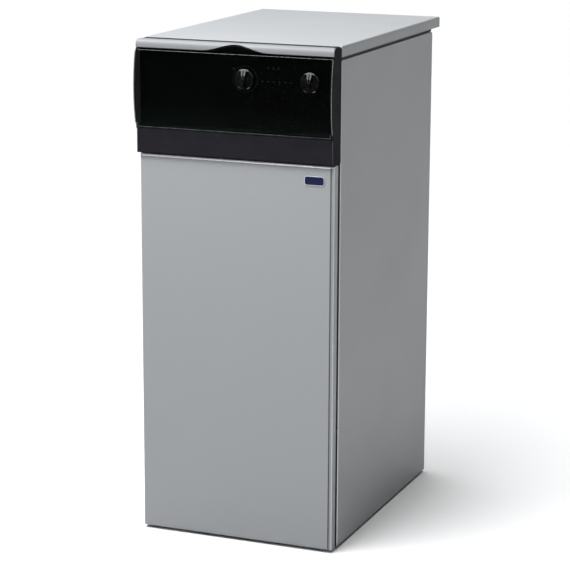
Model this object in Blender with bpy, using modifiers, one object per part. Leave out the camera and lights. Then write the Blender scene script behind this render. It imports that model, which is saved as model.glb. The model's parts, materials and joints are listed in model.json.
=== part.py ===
"""Slim floor-standing gas boiler with a cast-iron heat exchanger and an atmospheric burner.

Metres, +Z up.  The origin is on the floor under the middle of the overall box, X runs to the
right seen from the front, and the front door faces -Y.

Groups, from the outside in:
  casing        base tray on rubber feet, two side panels, rear panel, top panel and its seal
  front door    hinged on its left edge, insulated, held shut by magnets on the right
  control panel moulded bezel, silver trim, smoked flap, fascia, two knobs, lamps
  electrics     control box with switch, thermostat, circuit board and terminals
  exchanger     three cast-iron sections on tie rods, insulation jacket, flow and return pipes
  flue          hood on top of the sections, draught diverter and round flue spigot
  burner        box, front plate with sight glass, two burner bars, manifold, injectors, gas valve
"""

import math

import bmesh
import bpy
from mathutils import Matrix, Vector

# Overall size
WIDTH = 0.350
HEIGHT = 0.850
DEPTH = 0.600
HALF_W = WIDTH / 2
FRONT = -DEPTH / 2
REAR = DEPTH / 2

# Clearances and sheet thicknesses
GAP = 0.0003
SHEET = 0.001
FLUE_SHEET = 0.0012

# Front door, measured back from the most forward point of the control flap
DOOR_FRONT = FRONT + 0.020
DOOR_DEPTH = 0.0185
DOOR_BACK = DOOR_FRONT + DOOR_DEPTH
DOOR_HALF_W = 0.1735
DOOR_BOTTOM = 0.0045
DOOR_TOP = 0.6580
DOOR_LIP = 0.014
DOOR_EDGE_R = 0.0045

# Door hinge, a vertical axis near the left edge
HINGE_X = -0.1655
HINGE_Y = DOOR_FRONT + 0.0135
HINGE_PIN_R = 0.0025
HINGE_PLATE = 0.0015

# Casing
CASE_FRONT = DOOR_FRONT + 0.0265
CASE_REAR = DOOR_FRONT + 0.4885
SIDE_BOTTOM = 0.004
SIDE_TOP = 0.8274
SIDE_RETURN = 0.015
LID_REAR = DOOR_FRONT + 0.5295
LID_BOTTOM = 0.832
REAR_PANEL_Y = CASE_REAR - 0.0025
TRAY_BOTTOM = SIDE_BOTTOM + SHEET + GAP
TRAY_TOP = 0.034

# Control panel
BEZEL_BOTTOM = 0.6605
BEZEL_HALF_W = HALF_W - GAP
CHEEK = 0.0032
BEZEL_INSIDE = BEZEL_HALF_W - CHEEK
STRIP_TOP = 0.7022
RAIL_BOTTOM = 0.8345
RAIL_TOP = 0.8492
STRIP_FRONT = DOOR_FRONT - 0.009
FASCIA_Y = DOOR_FRONT
FASCIA_THICK = 0.003
PANEL_BACK = CASE_FRONT - GAP

# Smoked flap: a shell bent to one radius, hinged along its bottom edge
FLAP_R = 0.293
FLAP_MID_Z = 0.768
FLAP_BOTTOM = 0.7052
FLAP_TOP = 0.8325
FLAP_THICK = 0.0025
FLAP_CENTRE_Y = FRONT + FLAP_R
FLAP_AXIS_Y = FRONT + 0.011
FLAP_AXIS_Z = 0.7078
FLAP_BEAD_R = 0.0032
FLAP_PIN_R = 0.0016
FLAP_NOTCH_TOP = FLAP_AXIS_Z + 0.0032

# Silver trim, a quarter ellipse in section with a wave cut in its lower edge
TRIM_BOTTOM = 0.8365
TRIM_BACK = DOOR_FRONT + 0.0015
TRIM_REACH = 0.0107
TRIM_RISE = HEIGHT - TRIM_BOTTOM
TRIM_THICK = 0.0022
WAVE_HALF_W = 0.063
WAVE_HEIGHT = 0.0112
WAVE_X = 0.003

# Knobs
SELECTOR_X = 0.0175
THERMOSTAT_X = 0.132
KNOB_Z = 0.792
KNOB_R = 0.017
SHAFT_R = 0.003
LAMP_X = (0.0585, 0.0675, 0.0765)
LAMP_Z = 0.812

# Heat exchanger
SECTION_PITCH = 0.088
SECTION_HALF = SECTION_PITCH / 2 - GAP
SECTION_CORE = 0.014
RIB_DEPTH = 0.014
SECTION_FRONT = -0.150
SECTION_REAR = 0.120
SECTION_BOTTOM = 0.200
SECTION_TOP = 0.600
PORT_Y = 0.070
PORT_R = 0.032
FLOW_Z = 0.560
RETURN_Z = 0.240
ROD_Y = -0.105
ROD_IN = 0.018
PIPE_R = 0.0135
PIPE_BORE_R = 0.0105
PIPE_END = 0.235
DRAIN_Z = 0.232
DRAIN_Y = -0.195
BULB_Z = 0.570

# Burner
BAR_X = SECTION_PITCH / 2
BAR_AXIS_Z = 0.140
BAR_SLOTS = 10
THROAT_R = 0.0105
BURNER_HALF_W = 0.140
PLATE_FRONT = -0.1535
PLATE_THICK = 0.0015
SIGHT_Z = 0.176
ELECTRODE_Z = 0.1785
MANIFOLD_Y = -0.195
MANIFOLD_R = 0.009
GAS_PIPE_X = 0.150
GAS_PIPE_R = 0.0075

# Flue
SPIGOT_Z = 0.735
SPIGOT_R = 0.055
SPIGOT_BORE_R = 0.053
SPIGOT_FLANGE = 0.002
HOOD_TOP = 0.688
HOOD_HALF_W = 0.130
DIVERTER_FRONT = 0.1186
DIVERTER_REAR = 0.2455
DIVERTER_HALF_W = 0.120
DIVERTER_BOTTOM = 0.612
DIVERTER_TOP = 0.815

# Control box and the cable that enters behind it
BOX_BOTTOM = 0.702
BOX_TOP = 0.824
BOX_HALF_W = 0.157
GLAND_X = -0.142
GLAND_Z = 0.700

X_AXIS = Vector((1, 0, 0))
Y_AXIS = Vector((0, 1, 0))
Z_AXIS = Vector((0, 0, 1))


# ---------------------------------------------------------------- scene and materials

for old in list(bpy.data.objects):
    bpy.data.objects.remove(old, do_unlink=True)

boiler = bpy.data.collections.new("floor_standing_boiler")
cutters = bpy.data.collections.new("cutters")
bpy.context.scene.collection.children.link(boiler)
bpy.context.scene.collection.children.link(cutters)


def finish(name, colour, roughness, metallic, alpha=1.0):
    """A Principled material of one colour."""
    material = bpy.data.materials.new(name)
    material.use_nodes = True
    shader = material.node_tree.nodes["Principled BSDF"]
    shader.inputs["Base Color"].default_value = (*colour, 1.0)
    shader.inputs["Roughness"].default_value = roughness
    shader.inputs["Metallic"].default_value = metallic
    shader.inputs["Alpha"].default_value = alpha
    return material


SILVER_PAINT = finish("silver_paint", (0.52, 0.54, 0.56), 0.35, 0.5)
SILVER_TRIM = finish("silver_trim", (0.70, 0.71, 0.73), 0.25, 0.8)
DARK_PLASTIC = finish("dark_plastic", (0.03, 0.03, 0.035), 0.45, 0.0)
BLACK_PLASTIC = finish("black_plastic", (0.01, 0.01, 0.01), 0.3, 0.0)
SMOKED = finish("smoked_acrylic", (0.01, 0.012, 0.012), 0.05, 0.0, 0.6)
RUBBER = finish("black_rubber", (0.02, 0.02, 0.02), 0.8, 0.0)
ENAMEL = finish("navy_enamel", (0.02, 0.04, 0.16), 0.2, 0.0)
GALVANISED = finish("galvanised_steel", (0.55, 0.56, 0.57), 0.4, 0.9)
CAST_IRON = finish("cast_iron", (0.08, 0.08, 0.085), 0.7, 0.6)
WOOL = finish("mineral_wool", (0.62, 0.60, 0.52), 0.95, 0.0)
STAINLESS = finish("stainless_steel", (0.60, 0.60, 0.60), 0.3, 1.0)
BRASS = finish("brass", (0.72, 0.55, 0.25), 0.3, 1.0)
COPPER = finish("copper", (0.72, 0.38, 0.24), 0.3, 1.0)
ALUMINIUM = finish("aluminium", (0.65, 0.66, 0.68), 0.4, 0.9)
GLASS = finish("sight_glass", (0.75, 0.85, 0.85), 0.05, 0.0, 0.35)
LENS = finish("lamp_lens", (0.55, 0.20, 0.10), 0.2, 0.0)
CERAMIC = finish("ceramic", (0.85, 0.83, 0.78), 0.4, 0.0)
BOARD_GREEN = finish("circuit_board", (0.05, 0.25, 0.12), 0.5, 0.0)
WHITE_PLASTIC = finish("white_plastic", (0.80, 0.80, 0.76), 0.5, 0.0)
CABLE = finish("silicone_cable", (0.55, 0.10, 0.06), 0.6, 0.0)


# ---------------------------------------------------------------- building tools

def place(name, mesh, material, matrix=None):
    """Make an object of a mesh: a part when it has a material, and a cutter when it has none."""
    obj = bpy.data.objects.new(name, mesh)
    if matrix is not None:
        obj.matrix_world = matrix
    if material is None:
        cutters.objects.link(obj)
        obj.hide_render = True
        obj.display_type = "WIRE"
    else:
        boiler.objects.link(obj)
        mesh.materials.append(material)
    return obj


def mesh_of(name, bm):
    """The mesh of a bmesh, with smooth shading broken at 30 degrees."""
    mesh = bpy.data.meshes.new(name)
    bm.to_mesh(mesh)
    bm.free()
    mesh.shade_smooth()
    mesh.set_sharp_from_angle(angle=math.radians(30))
    return mesh


def cube_between(low, high):
    """A bmesh box from its lowest to its highest corner."""
    bm = bmesh.new()
    bmesh.ops.create_cube(bm, size=1)
    size = [b - a for a, b in zip(low, high)]
    centre = [(a + b) / 2 for a, b in zip(low, high)]
    bmesh.ops.scale(bm, vec=size, verts=bm.verts)
    bmesh.ops.translate(bm, vec=centre, verts=bm.verts)
    return bm


def round_edges(bm, wanted, radius, segments):
    """Round the edges for which wanted(middle, direction) is true."""
    chosen = []
    for edge in bm.edges:
        start, end = (vert.co for vert in edge.verts)
        if wanted((start + end) / 2, (end - start).normalized()):
            chosen.append(edge)
    bmesh.ops.bevel(bm, geom=chosen, offset=radius, segments=segments, affect="EDGES", profile=0.5)


def block(name, low, high, material=None, radius=0.0, segments=2, wanted=None):
    """A solid box, with all its edges or only the wanted ones rounded."""
    bm = cube_between(low, high)
    if radius:
        round_edges(bm, wanted or (lambda middle, direction: True), radius, segments)
    return place(name, mesh_of(name, bm), material)


def pan(name, low, high, open_side, material, thick=SHEET, rounds=(), lip=0.0):
    """A folded sheet-metal tray: a box with one side open, and a lip around the opening."""
    bm = cube_between(low, high)
    for wanted, radius, segments in rounds:
        round_edges(bm, wanted, radius, segments)
    bm.normal_update()
    side = Vector(open_side)
    face = max(bm.faces, key=lambda f: f.normal.dot(side) * f.calc_area())
    if lip:
        bmesh.ops.inset_region(bm, faces=[face], thickness=lip, use_even_offset=True)
    bmesh.ops.delete(bm, geom=[face], context="FACES")
    obj = place(name, mesh_of(name, bm), material)
    shell = obj.modifiers.new("sheet", "SOLIDIFY")
    shell.thickness = thick
    shell.offset = -1
    shell.use_even_offset = True
    return obj


def rod(name, start, end, radius, material=None, sides=24, end_radius=None):
    """A round bar or cone between two points."""
    start, end = Vector(start), Vector(end)
    bm = bmesh.new()
    bmesh.ops.create_cone(
        bm, cap_ends=True, segments=sides, radius1=radius,
        radius2=radius if end_radius is None else end_radius, depth=(end - start).length)
    turn = Z_AXIS.rotation_difference(end - start).to_matrix().to_4x4()
    bm.transform(Matrix.Translation((start + end) / 2) @ turn)
    return place(name, mesh_of(name, bm), material)


def turned(name, base, direction, profile, material=None, steps=24):
    """A turned piece: (radius, distance along direction) points, from its far end to its base.

    A profile that starts and ends at radius 0 is solid, and one that closes on itself is a ring.
    """
    bm = bmesh.new()
    points = [bm.verts.new((radius, 0, height)) for radius, height in profile]
    for first, second in zip(points, points[1:]):
        bm.edges.new((first, second))
    if profile[0][0] > 0:
        bm.edges.new((points[-1], points[0]))
    mesh = bpy.data.meshes.new(name)
    bm.to_mesh(mesh)
    bm.free()
    turn = Z_AXIS.rotation_difference(Vector(direction)).to_matrix().to_4x4()
    obj = place(name, mesh, material, Matrix.Translation(base) @ turn)
    screw = obj.modifiers.new("turn", "SCREW")
    screw.steps = steps
    screw.render_steps = steps
    screw.use_merge_vertices = True
    screw.merge_threshold = 0.00005
    return obj


def outline_solid(name, points, plane, low, high, material=None):
    """A flat outline in the plane "YZ" or "XZ", filled from low to high."""
    curve = bpy.data.curves.new(name, "CURVE")
    curve.dimensions = "2D"
    curve.fill_mode = "BOTH"
    curve.extrude = abs(high - low) / 2
    spline = curve.splines.new("POLY")
    spline.points.add(len(points) - 1)
    for point, (across, up) in zip(spline.points, points):
        point.co = (across, up, 0, 1)
    spline.use_cyclic_u = True
    middle = (low + high) / 2
    if plane == "YZ":
        turn = Matrix((Y_AXIS, Z_AXIS, X_AXIS)).transposed().to_4x4()
        centre = X_AXIS * middle
    else:
        turn = Matrix((X_AXIS, Z_AXIS, -Y_AXIS)).transposed().to_4x4()
        centre = Y_AXIS * middle
    return solid_from_curve(name, curve, material, Matrix.Translation(centre) @ turn)


def solid_from_curve(name, curve, material, matrix=None):
    """Turn a curve into one closed mesh object, in the curve's own place."""
    guide = bpy.data.objects.new(name + "_guide", curve)
    cutters.objects.link(guide)
    if matrix is not None:
        guide.matrix_world = matrix
    bpy.context.view_layer.update()
    evaluated = guide.evaluated_get(bpy.context.evaluated_depsgraph_get())
    mesh = bpy.data.meshes.new_from_object(evaluated)
    bm = bmesh.new()
    bm.from_mesh(mesh)
    bmesh.ops.remove_doubles(bm, verts=bm.verts, dist=0.00002)
    bmesh.ops.recalc_face_normals(bm, faces=bm.faces)
    bm.to_mesh(mesh)
    bm.free()
    mesh.shade_smooth()
    mesh.set_sharp_from_angle(angle=math.radians(35))
    matrix_world = guide.matrix_world.copy()
    bpy.data.objects.remove(guide, do_unlink=True)
    return place(name, mesh, material, matrix_world)


def wire(name, points, radius, material=None, resolution=2):
    """A round wire or pipe along a chain of points."""
    curve = bpy.data.curves.new(name, "CURVE")
    curve.dimensions = "3D"
    curve.bevel_depth = radius
    curve.bevel_resolution = resolution
    curve.use_fill_caps = True
    spline = curve.splines.new("POLY")
    spline.points.add(len(points) - 1)
    for point, place_at in zip(spline.points, points):
        point.co = (*place_at, 1)
    return solid_from_curve(name, curve, material)


def smooth_path(corners, steps=5):
    """Points on a smooth curve through the corners."""
    ends = [corners[0], *corners, corners[-1]]
    path = []
    for a, b, c, d in zip(ends, ends[1:], ends[2:], ends[3:]):
        a, b, c, d = Vector(a), Vector(b), Vector(c), Vector(d)
        for step in range(steps):
            t = step / steps
            path.append(0.5 * (2 * b + (c - a) * t + (2 * a - 5 * b + 4 * c - d) * t * t
                               + (3 * b - a - 3 * c + d) * t ** 3))
    path.append(Vector(corners[-1]))
    return path


def arc(centre, radius, start, end, steps, radius_up=None):
    """Points of a circle or ellipse arc, angles in degrees from the first axis."""
    second = radius if radius_up is None else radius_up
    points = []
    for step in range(steps + 1):
        angle = math.radians(start + (end - start) * step / steps)
        points.append((centre[0] + radius * math.cos(angle), centre[1] + second * math.sin(angle)))
    return points


def combine(target, operation, tools):
    """Boolean the tools into the target; a tool that was a part becomes a cutter."""
    for tool in tools:
        modifier = target.modifiers.new(tool.name, "BOOLEAN")
        modifier.operation = operation
        modifier.object = tool
        modifier.solver = "EXACT"


def cut(target, *tools):
    combine(target, "DIFFERENCE", tools)


def join(target, *tools):
    combine(target, "UNION", tools)


def hang_on(pivot_name, location, *parts):
    """Parent parts to an empty that marks their joint's axis."""
    pivot = bpy.data.objects.new(pivot_name, None)
    boiler.objects.link(pivot)
    pivot.location = location
    pivot.empty_display_size = 0.03
    bpy.context.view_layer.update()
    for part in parts:
        matrix_world = part.matrix_world.copy()
        part.parent = pivot
        part.matrix_parent_inverse = pivot.matrix_world.inverted()
        part.matrix_world = matrix_world


def at(value, wanted):
    return abs(value - wanted) < 1e-5


# ---------------------------------------------------------------- casing

def side_panel(name, side):
    """A folded side panel; its upper rear corner is rounded off."""
    outer, inner = side * HALF_W, side * (HALF_W - SIDE_RETURN)
    low = (min(outer, inner), CASE_FRONT, SIDE_BOTTOM)
    high = (max(outer, inner), CASE_REAR, SIDE_TOP)

    def upper_rear(middle, direction):
        return at(middle.y, CASE_REAR) and at(middle.z, SIDE_TOP)

    def outer_fold(middle, direction):
        return at(middle.x, outer)

    pan(name, low, high, (-side, 0, 0), SILVER_PAINT,
        rounds=((upper_rear, 0.007, 3), (outer_fold, 0.0015, 2)))


def casing():
    half = HALF_W - SHEET - 0.0005
    inlet = 0.100
    tray = pan("base_tray", (-half, CASE_FRONT + SHEET + 0.0005, TRAY_BOTTOM),
               (half, REAR_PANEL_Y - 0.0005, TRAY_TOP), (0, 0, 1), GALVANISED, thick=FLUE_SHEET)
    cut(tray, block("air_inlet_cutter", (-inlet, -inlet, 0), (inlet, inlet, 0.02)))

    for row, y in (("front", -0.225), ("rear", 0.180)):
        for side, x in (("left", -0.140), ("right", 0.140)):
            cut(tray, rod(f"{row}_{side}_foot_hole", (x, y, 0), (x, y, 0.02), 0.0044, sides=12))
            turned(f"foot_{row}_{side}", (x, y, 0), Z_AXIS,
                   [(0, 0.0120), (0.0040, 0.0115), (0.0055, 0.0074), (0.0041, 0.0072), (0.0041, 0.0050),
                    (0.0140, 0.0050), (0.0140, 0.0008), (0.0132, 0), (0, 0)], RUBBER, steps=16)

    side_panel("left_side_panel", -1)
    side_panel("right_side_panel", 1)

    rear = block("rear_panel", (-HALF_W + 0.0018, REAR_PANEL_Y, TRAY_BOTTOM + 0.0002),
                 (HALF_W - 0.0018, REAR_PANEL_Y + SHEET, SIDE_TOP - 0.0090), GALVANISED)
    notch = DIVERTER_HALF_W + 0.0015
    cut(rear,
        block("flue_notch_cutter", (-notch, REAR_PANEL_Y - 0.01, 0.610), (notch, REAR_PANEL_Y + 0.01, 0.9)),
        through_hole("flow_hole", SECTION_PITCH, FLOW_Z, REAR_PANEL_Y, PIPE_R + 0.001),
        through_hole("return_hole", -SECTION_PITCH, RETURN_Z, REAR_PANEL_Y, PIPE_R + 0.001),
        through_hole("gas_hole", GAS_PIPE_X, BAR_AXIS_Z, REAR_PANEL_Y, GAS_PIPE_R + 0.001),
        through_hole("gland_hole", GLAND_X, GLAND_Z, REAR_PANEL_Y, 0.0066))

    def lid_top(middle, direction):
        return at(middle.z, HEIGHT)

    def lid_corner(middle, direction):
        return abs(direction.z) > 0.9

    pan("top_panel", (-HALF_W, CASE_FRONT, LID_BOTTOM), (HALF_W, LID_REAR, HEIGHT), (0, 0, -1),
        SILVER_PAINT, rounds=((lid_top, 0.0035, 3), (lid_corner, 0.002, 2)))

    seal = block("lid_seal", (-HALF_W + 0.0018, CASE_FRONT + 0.002, SIDE_TOP + GAP),
                 (HALF_W - 0.0018, CASE_REAR - 0.002, LID_BOTTOM - GAP), RUBBER)
    cut(seal, block("seal_cutter", (-HALF_W + 0.010, CASE_FRONT + 0.010, 0.8),
                    (HALF_W - 0.010, CASE_REAR - 0.010, 0.9)))

    turned("cable_gland", (GLAND_X, REAR_PANEL_Y - 0.006, GLAND_Z), Y_AXIS,
           [(0.0045, 0.026), (0.0080, 0.024), (0.0095, 0.014), (0.0095, 0.0075), (0.0062, 0.0073),
            (0.0062, 0), (0.0045, 0)], BLACK_PLASTIC, steps=16)


def through_hole(name, x, z, y, radius, reach=0.02, sides=24):
    """A cutter for a round hole that runs front to back at height z."""
    return rod(name, (x, y - reach, z), (x, y + reach, z), radius, sides=sides)


# ---------------------------------------------------------------- front door

def front_door():
    def front_edge(middle, direction):
        return at(middle.y, DOOR_FRONT)

    door = pan("front_door", (-DOOR_HALF_W, DOOR_FRONT, DOOR_BOTTOM), (DOOR_HALF_W, DOOR_BACK, DOOR_TOP),
               (0, 1, 0), SILVER_PAINT, rounds=((front_edge, DOOR_EDGE_R, 3),), lip=DOOR_LIP)
    cut(door, rod("hinge_pin_hole", (HINGE_X, HINGE_Y, -0.01), (HINGE_X, HINGE_Y, 0.7),
                  HINGE_PIN_R + GAP, sides=16))
    wool = block("door_insulation", (-0.152, DOOR_FRONT + SHEET + GAP, 0.022),
                 (0.158, DOOR_BACK - 0.0025, DOOR_TOP - 0.0175), WOOL)
    badge = block("door_badge", (0.1225, DOOR_FRONT - 0.0018, 0.6255),
                  (0.1570, DOOR_FRONT - GAP, 0.6405), ENAMEL, radius=0.0045, segments=4,
                  wanted=lambda middle, direction: abs(direction.y) > 0.9)
    hang_on("front_door_pivot", (HINGE_X, HINGE_Y, DOOR_BOTTOM), door, wool, badge)


def hinge_bracket(name, plate_z, tab_low, tab_high, pin_start, pin_end):
    """A flat arm over or under the door with a pin, and a tab screwed to the casing's front fold."""
    arm = block(name, (HINGE_X - 0.005, HINGE_Y - 0.005, plate_z),
                (HINGE_X + 0.005, CASE_FRONT - GAP, plate_z + HINGE_PLATE), GALVANISED)
    tab = block(name + "_tab", (-DOOR_HALF_W + 0.001, CASE_FRONT - GAP - 0.0014, tab_low),
                (HINGE_X + 0.005, CASE_FRONT - GAP, tab_high))
    pin = rod(name + "_pin", (HINGE_X, HINGE_Y, pin_start), (HINGE_X, HINGE_Y, pin_end),
              HINGE_PIN_R, sides=16)
    join(arm, tab, pin)


def door_catch(name, z):
    """A magnet in a plastic holder, which the door's right-hand fold closes against."""
    block(name, (0.1605, DOOR_BACK + GAP, z - 0.022), (0.1728, CASE_FRONT - GAP, z + 0.022),
          BLACK_PLASTIC, radius=0.0012, segments=1)


def door_fittings():
    top_plate = DOOR_TOP + 0.0005
    hinge_bracket("upper_hinge_bracket", top_plate, 0.6305, top_plate + HINGE_PLATE,
                  DOOR_TOP - 0.008, top_plate + 0.0005)
    low_plate = DOOR_BOTTOM - 0.0023
    hinge_bracket("lower_hinge_bracket", low_plate, low_plate, 0.032,
                  low_plate + 0.0005, DOOR_BOTTOM + 0.008)
    door_catch("upper_door_catch", 0.575)
    door_catch("lower_door_catch", 0.085)


# ---------------------------------------------------------------- control panel

def wave_outline(half_width, height, base, drop, steps=20):
    """A bell-shaped wave standing on base, closed by a flat bottom at drop below it."""
    points = [(WAVE_X - half_width, base - drop), (WAVE_X + half_width, base - drop)]
    for step in range(steps + 1):
        across = 1 - 2 * step / steps
        rise = height * (0.5 + 0.5 * math.cos(math.pi * across)) ** 1.2
        points.append((WAVE_X + half_width * across, base + rise))
    return points


def trim_curve(inset):
    """The quarter ellipse of the silver trim, set in by inset, from its bottom to its top."""
    return arc((TRIM_BACK, TRIM_BOTTOM), TRIM_REACH - inset, 180, 90, 8, radius_up=TRIM_RISE - inset)


def flap_curve(radius, low, high):
    """Points up the flap's bend at a radius, from height low to height high."""
    start = 180 - math.degrees(math.asin((low - FLAP_MID_Z) / radius))
    end = 180 - math.degrees(math.asin((high - FLAP_MID_Z) / radius))
    return arc((FLAP_CENTRE_Y, FLAP_MID_Z), radius, start, end, 10)


def end_rounding(name, side, top, radius):
    """A cutter that rounds the upper outer corner of a strip, seen from the front."""
    edge = side * BEZEL_HALF_W
    spare = 0.002
    points = arc((edge - side * radius, top - radius), side * radius, 90 if side > 0 else -90, 0, 4,
                 radius_up=radius if side > 0 else -radius)
    points += [(edge + side * spare, top - radius), (edge + side * spare, top + spare),
               (edge - side * radius, top + spare)]
    return outline_solid(name, points, "XZ", FRONT - 0.01, PANEL_BACK + 0.01)


def bezel_outline():
    """The bezel seen from its end: up the strip's front, the cheeks' curve and the rail, then back."""
    cheek_r = FLAP_R - FLAP_THICK - 0.0005
    behind_trim = TRIM_BACK + 0.0004
    outline = [(PANEL_BACK, BEZEL_BOTTOM), (STRIP_FRONT + 0.003, BEZEL_BOTTOM),
               (STRIP_FRONT + 0.0009, BEZEL_BOTTOM + 0.0009), (STRIP_FRONT, BEZEL_BOTTOM + 0.003),
               (STRIP_FRONT - 0.0002, 0.680), (STRIP_FRONT - 0.0006, 0.690),
               (STRIP_FRONT - 0.0015, 0.6975), (STRIP_FRONT - 0.0022, 0.7012),
               (STRIP_FRONT - 0.0014, STRIP_TOP)]
    outline += flap_curve(cheek_r, STRIP_TOP + 0.0004, RAIL_BOTTOM)
    outline += [(TRIM_BACK - TRIM_REACH + TRIM_THICK + 0.0004, RAIL_BOTTOM)]
    outline += trim_curve(TRIM_THICK + 0.0004)
    outline += [(behind_trim, HEIGHT - TRIM_THICK - 0.0004), (behind_trim, RAIL_TOP - 0.0003),
                (behind_trim + 0.0004, RAIL_TOP), (PANEL_BACK, RAIL_TOP)]
    return outline


def pin_socket(side):
    """A cutter for the blind hole in a cheek that the flap's pin turns in."""
    end = side * (BEZEL_INSIDE + 0.0022)
    return rod(f"flap_pin_socket_{side + 1}", (0, FLAP_AXIS_Y, FLAP_AXIS_Z),
               (end, FLAP_AXIS_Y, FLAP_AXIS_Z), FLAP_PIN_R + GAP, sides=12)


def control_bezel():
    """One moulding: lower strip, two cheeks behind the flap's ends and a top rail under the trim."""
    bezel = outline_solid("control_bezel", bezel_outline(), "YZ", -BEZEL_HALF_W, BEZEL_HALF_W,
                          DARK_PLASTIC)
    inside = BEZEL_INSIDE
    scoop = wave_outline(WAVE_HALF_W, WAVE_HEIGHT - 0.001, RAIL_BOTTOM, 0.002)
    cut(bezel,
        block("panel_window_cutter", (-inside, FRONT - 0.01, STRIP_TOP), (inside, 0, RAIL_BOTTOM)),
        block("strip_hollow_cutter", (-inside, STRIP_FRONT + 0.003, BEZEL_BOTTOM + 0.003),
              (inside, 0, STRIP_TOP - 0.003)),
        block("rail_hollow_cutter", (-inside + 0.003, -0.265, RAIL_BOTTOM + 0.0025),
              (inside - 0.003, 0, RAIL_TOP - 0.003)),
        outline_solid("finger_scoop_cutter", scoop, "XZ", FRONT, -0.2685),
        pin_socket(-1),
        pin_socket(1),
        end_rounding("bezel_left_rounding", -1, RAIL_TOP, 0.005),
        end_rounding("bezel_right_rounding", 1, RAIL_TOP, 0.005))


def top_trim_strip():
    """The silver strip; fingers reach the flap's top edge through the wave in its middle."""
    outer = trim_curve(0.0)
    inner = trim_curve(TRIM_THICK)
    inner.reverse()
    strip = outline_solid("top_trim_strip", outer + inner, "YZ", -BEZEL_HALF_W, BEZEL_HALF_W,
                          SILVER_TRIM)
    wave = wave_outline(WAVE_HALF_W, WAVE_HEIGHT, TRIM_BOTTOM, 0.002)
    cut(strip,
        outline_solid("trim_wave_cutter", wave, "XZ", FRONT - 0.01, 0),
        end_rounding("trim_left_rounding", -1, HEIGHT, 0.004),
        end_rounding("trim_right_rounding", 1, HEIGHT, 0.004))


def control_flap():
    """The smoked flap with its hinge bead and two pins; its lower corners clear the cheeks."""
    outer = flap_curve(FLAP_R, FLAP_BOTTOM, FLAP_TOP)
    inner = flap_curve(FLAP_R - FLAP_THICK, FLAP_BOTTOM, FLAP_TOP)
    inner.reverse()
    flap = outline_solid("control_flap", outer + inner, "YZ", -BEZEL_HALF_W, BEZEL_HALF_W, SMOKED)
    bead_end = BEZEL_INSIDE - 0.0005
    pin_end = BEZEL_INSIDE + 0.0018
    axis = (FLAP_AXIS_Y, FLAP_AXIS_Z)
    for side in (-1, 1):
        near, far = sorted((side * bead_end, side * HALF_W))
        cut(flap, block(f"flap_corner_{side + 1}", (near, FRONT - 0.01, FLAP_BOTTOM - 0.01),
                        (far, FRONT + 0.02, FLAP_NOTCH_TOP)))
    join(flap,
         rod("flap_bead", (-bead_end, *axis), (bead_end, *axis), FLAP_BEAD_R, sides=16),
         rod("flap_pins", (-pin_end, *axis), (pin_end, *axis), FLAP_PIN_R, sides=12))
    hang_on("control_flap_pivot", (0, *axis), flap)


def knob(name, x):
    """A round knob with a raised grip bar that tapers towards the pointer's tail."""
    base_y = FASCIA_Y - 0.0008
    body = turned(name, (x, base_y, KNOB_Z), -Y_AXIS,
                  [(0, 0.0052), (0.0140, 0.0052), (0.0158, 0.0064), (0.0168, 0.0052),
                   (KNOB_R, 0.0035), (KNOB_R, 0.0004), (0.0166, 0), (0, 0)], BLACK_PLASTIC, steps=32)
    top, bottom = KNOB_Z + 0.0155, KNOB_Z - 0.0155
    grip = outline_solid(name + "_grip",
                         [(x - 0.0022, bottom), (x + 0.0022, bottom), (x + 0.0044, top), (x - 0.0044, top)],
                         "XZ", base_y - 0.0108, base_y - 0.0030)
    soften = grip.modifiers.new("soften", "BEVEL")
    soften.width = 0.0009
    soften.segments = 2
    join(body, grip)
    cut(body, rod(name + "_bore", (x, base_y + 0.001, KNOB_Z), (x, base_y - 0.0045, KNOB_Z),
                  SHAFT_R + GAP, sides=16))
    shaft = rod(name.replace("knob", "shaft"), (x, base_y - 0.0042, KNOB_Z),
                (x, FASCIA_Y + 0.016, KNOB_Z), SHAFT_R, GALVANISED, sides=16)
    hang_on(name + "_pivot", (x, FASCIA_Y, KNOB_Z), body, shaft)


def fascia():
    """The flat black panel behind the flap, with the lamp strip set in from behind."""
    edge = BEZEL_INSIDE - GAP
    back = FASCIA_Y + FASCIA_THICK
    plate = block("fascia_panel", (-edge, FASCIA_Y, STRIP_TOP + GAP), (edge, back, RAIL_BOTTOM - GAP),
                  BLACK_PLASTIC)
    for x in (SELECTOR_X, THERMOSTAT_X):
        cut(plate, through_hole(f"shaft_hole_{x:.3f}", x, KNOB_Z, FASCIA_Y, SHAFT_R + 0.0006, sides=16))
    lamps = block("indicator_lens_strip", (LAMP_X[0] - 0.006, back + GAP, LAMP_Z - 0.005),
                  (LAMP_X[-1] + 0.006, back + 0.0015, LAMP_Z + 0.005), LENS)
    for x in LAMP_X:
        cut(plate, through_hole(f"lamp_hole_{x:.4f}", x, LAMP_Z, FASCIA_Y, 0.0021, sides=12))
        join(lamps, rod(f"lamp_{x:.4f}", (x, back + 0.001, LAMP_Z), (x, FASCIA_Y - 0.0004, LAMP_Z),
                        0.0018, sides=12))


# ---------------------------------------------------------------- electrics

def shaft_bore(name, x):
    return through_hole(name, x, KNOB_Z, FASCIA_Y, SHAFT_R + GAP, reach=0.0165, sides=16)


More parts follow.
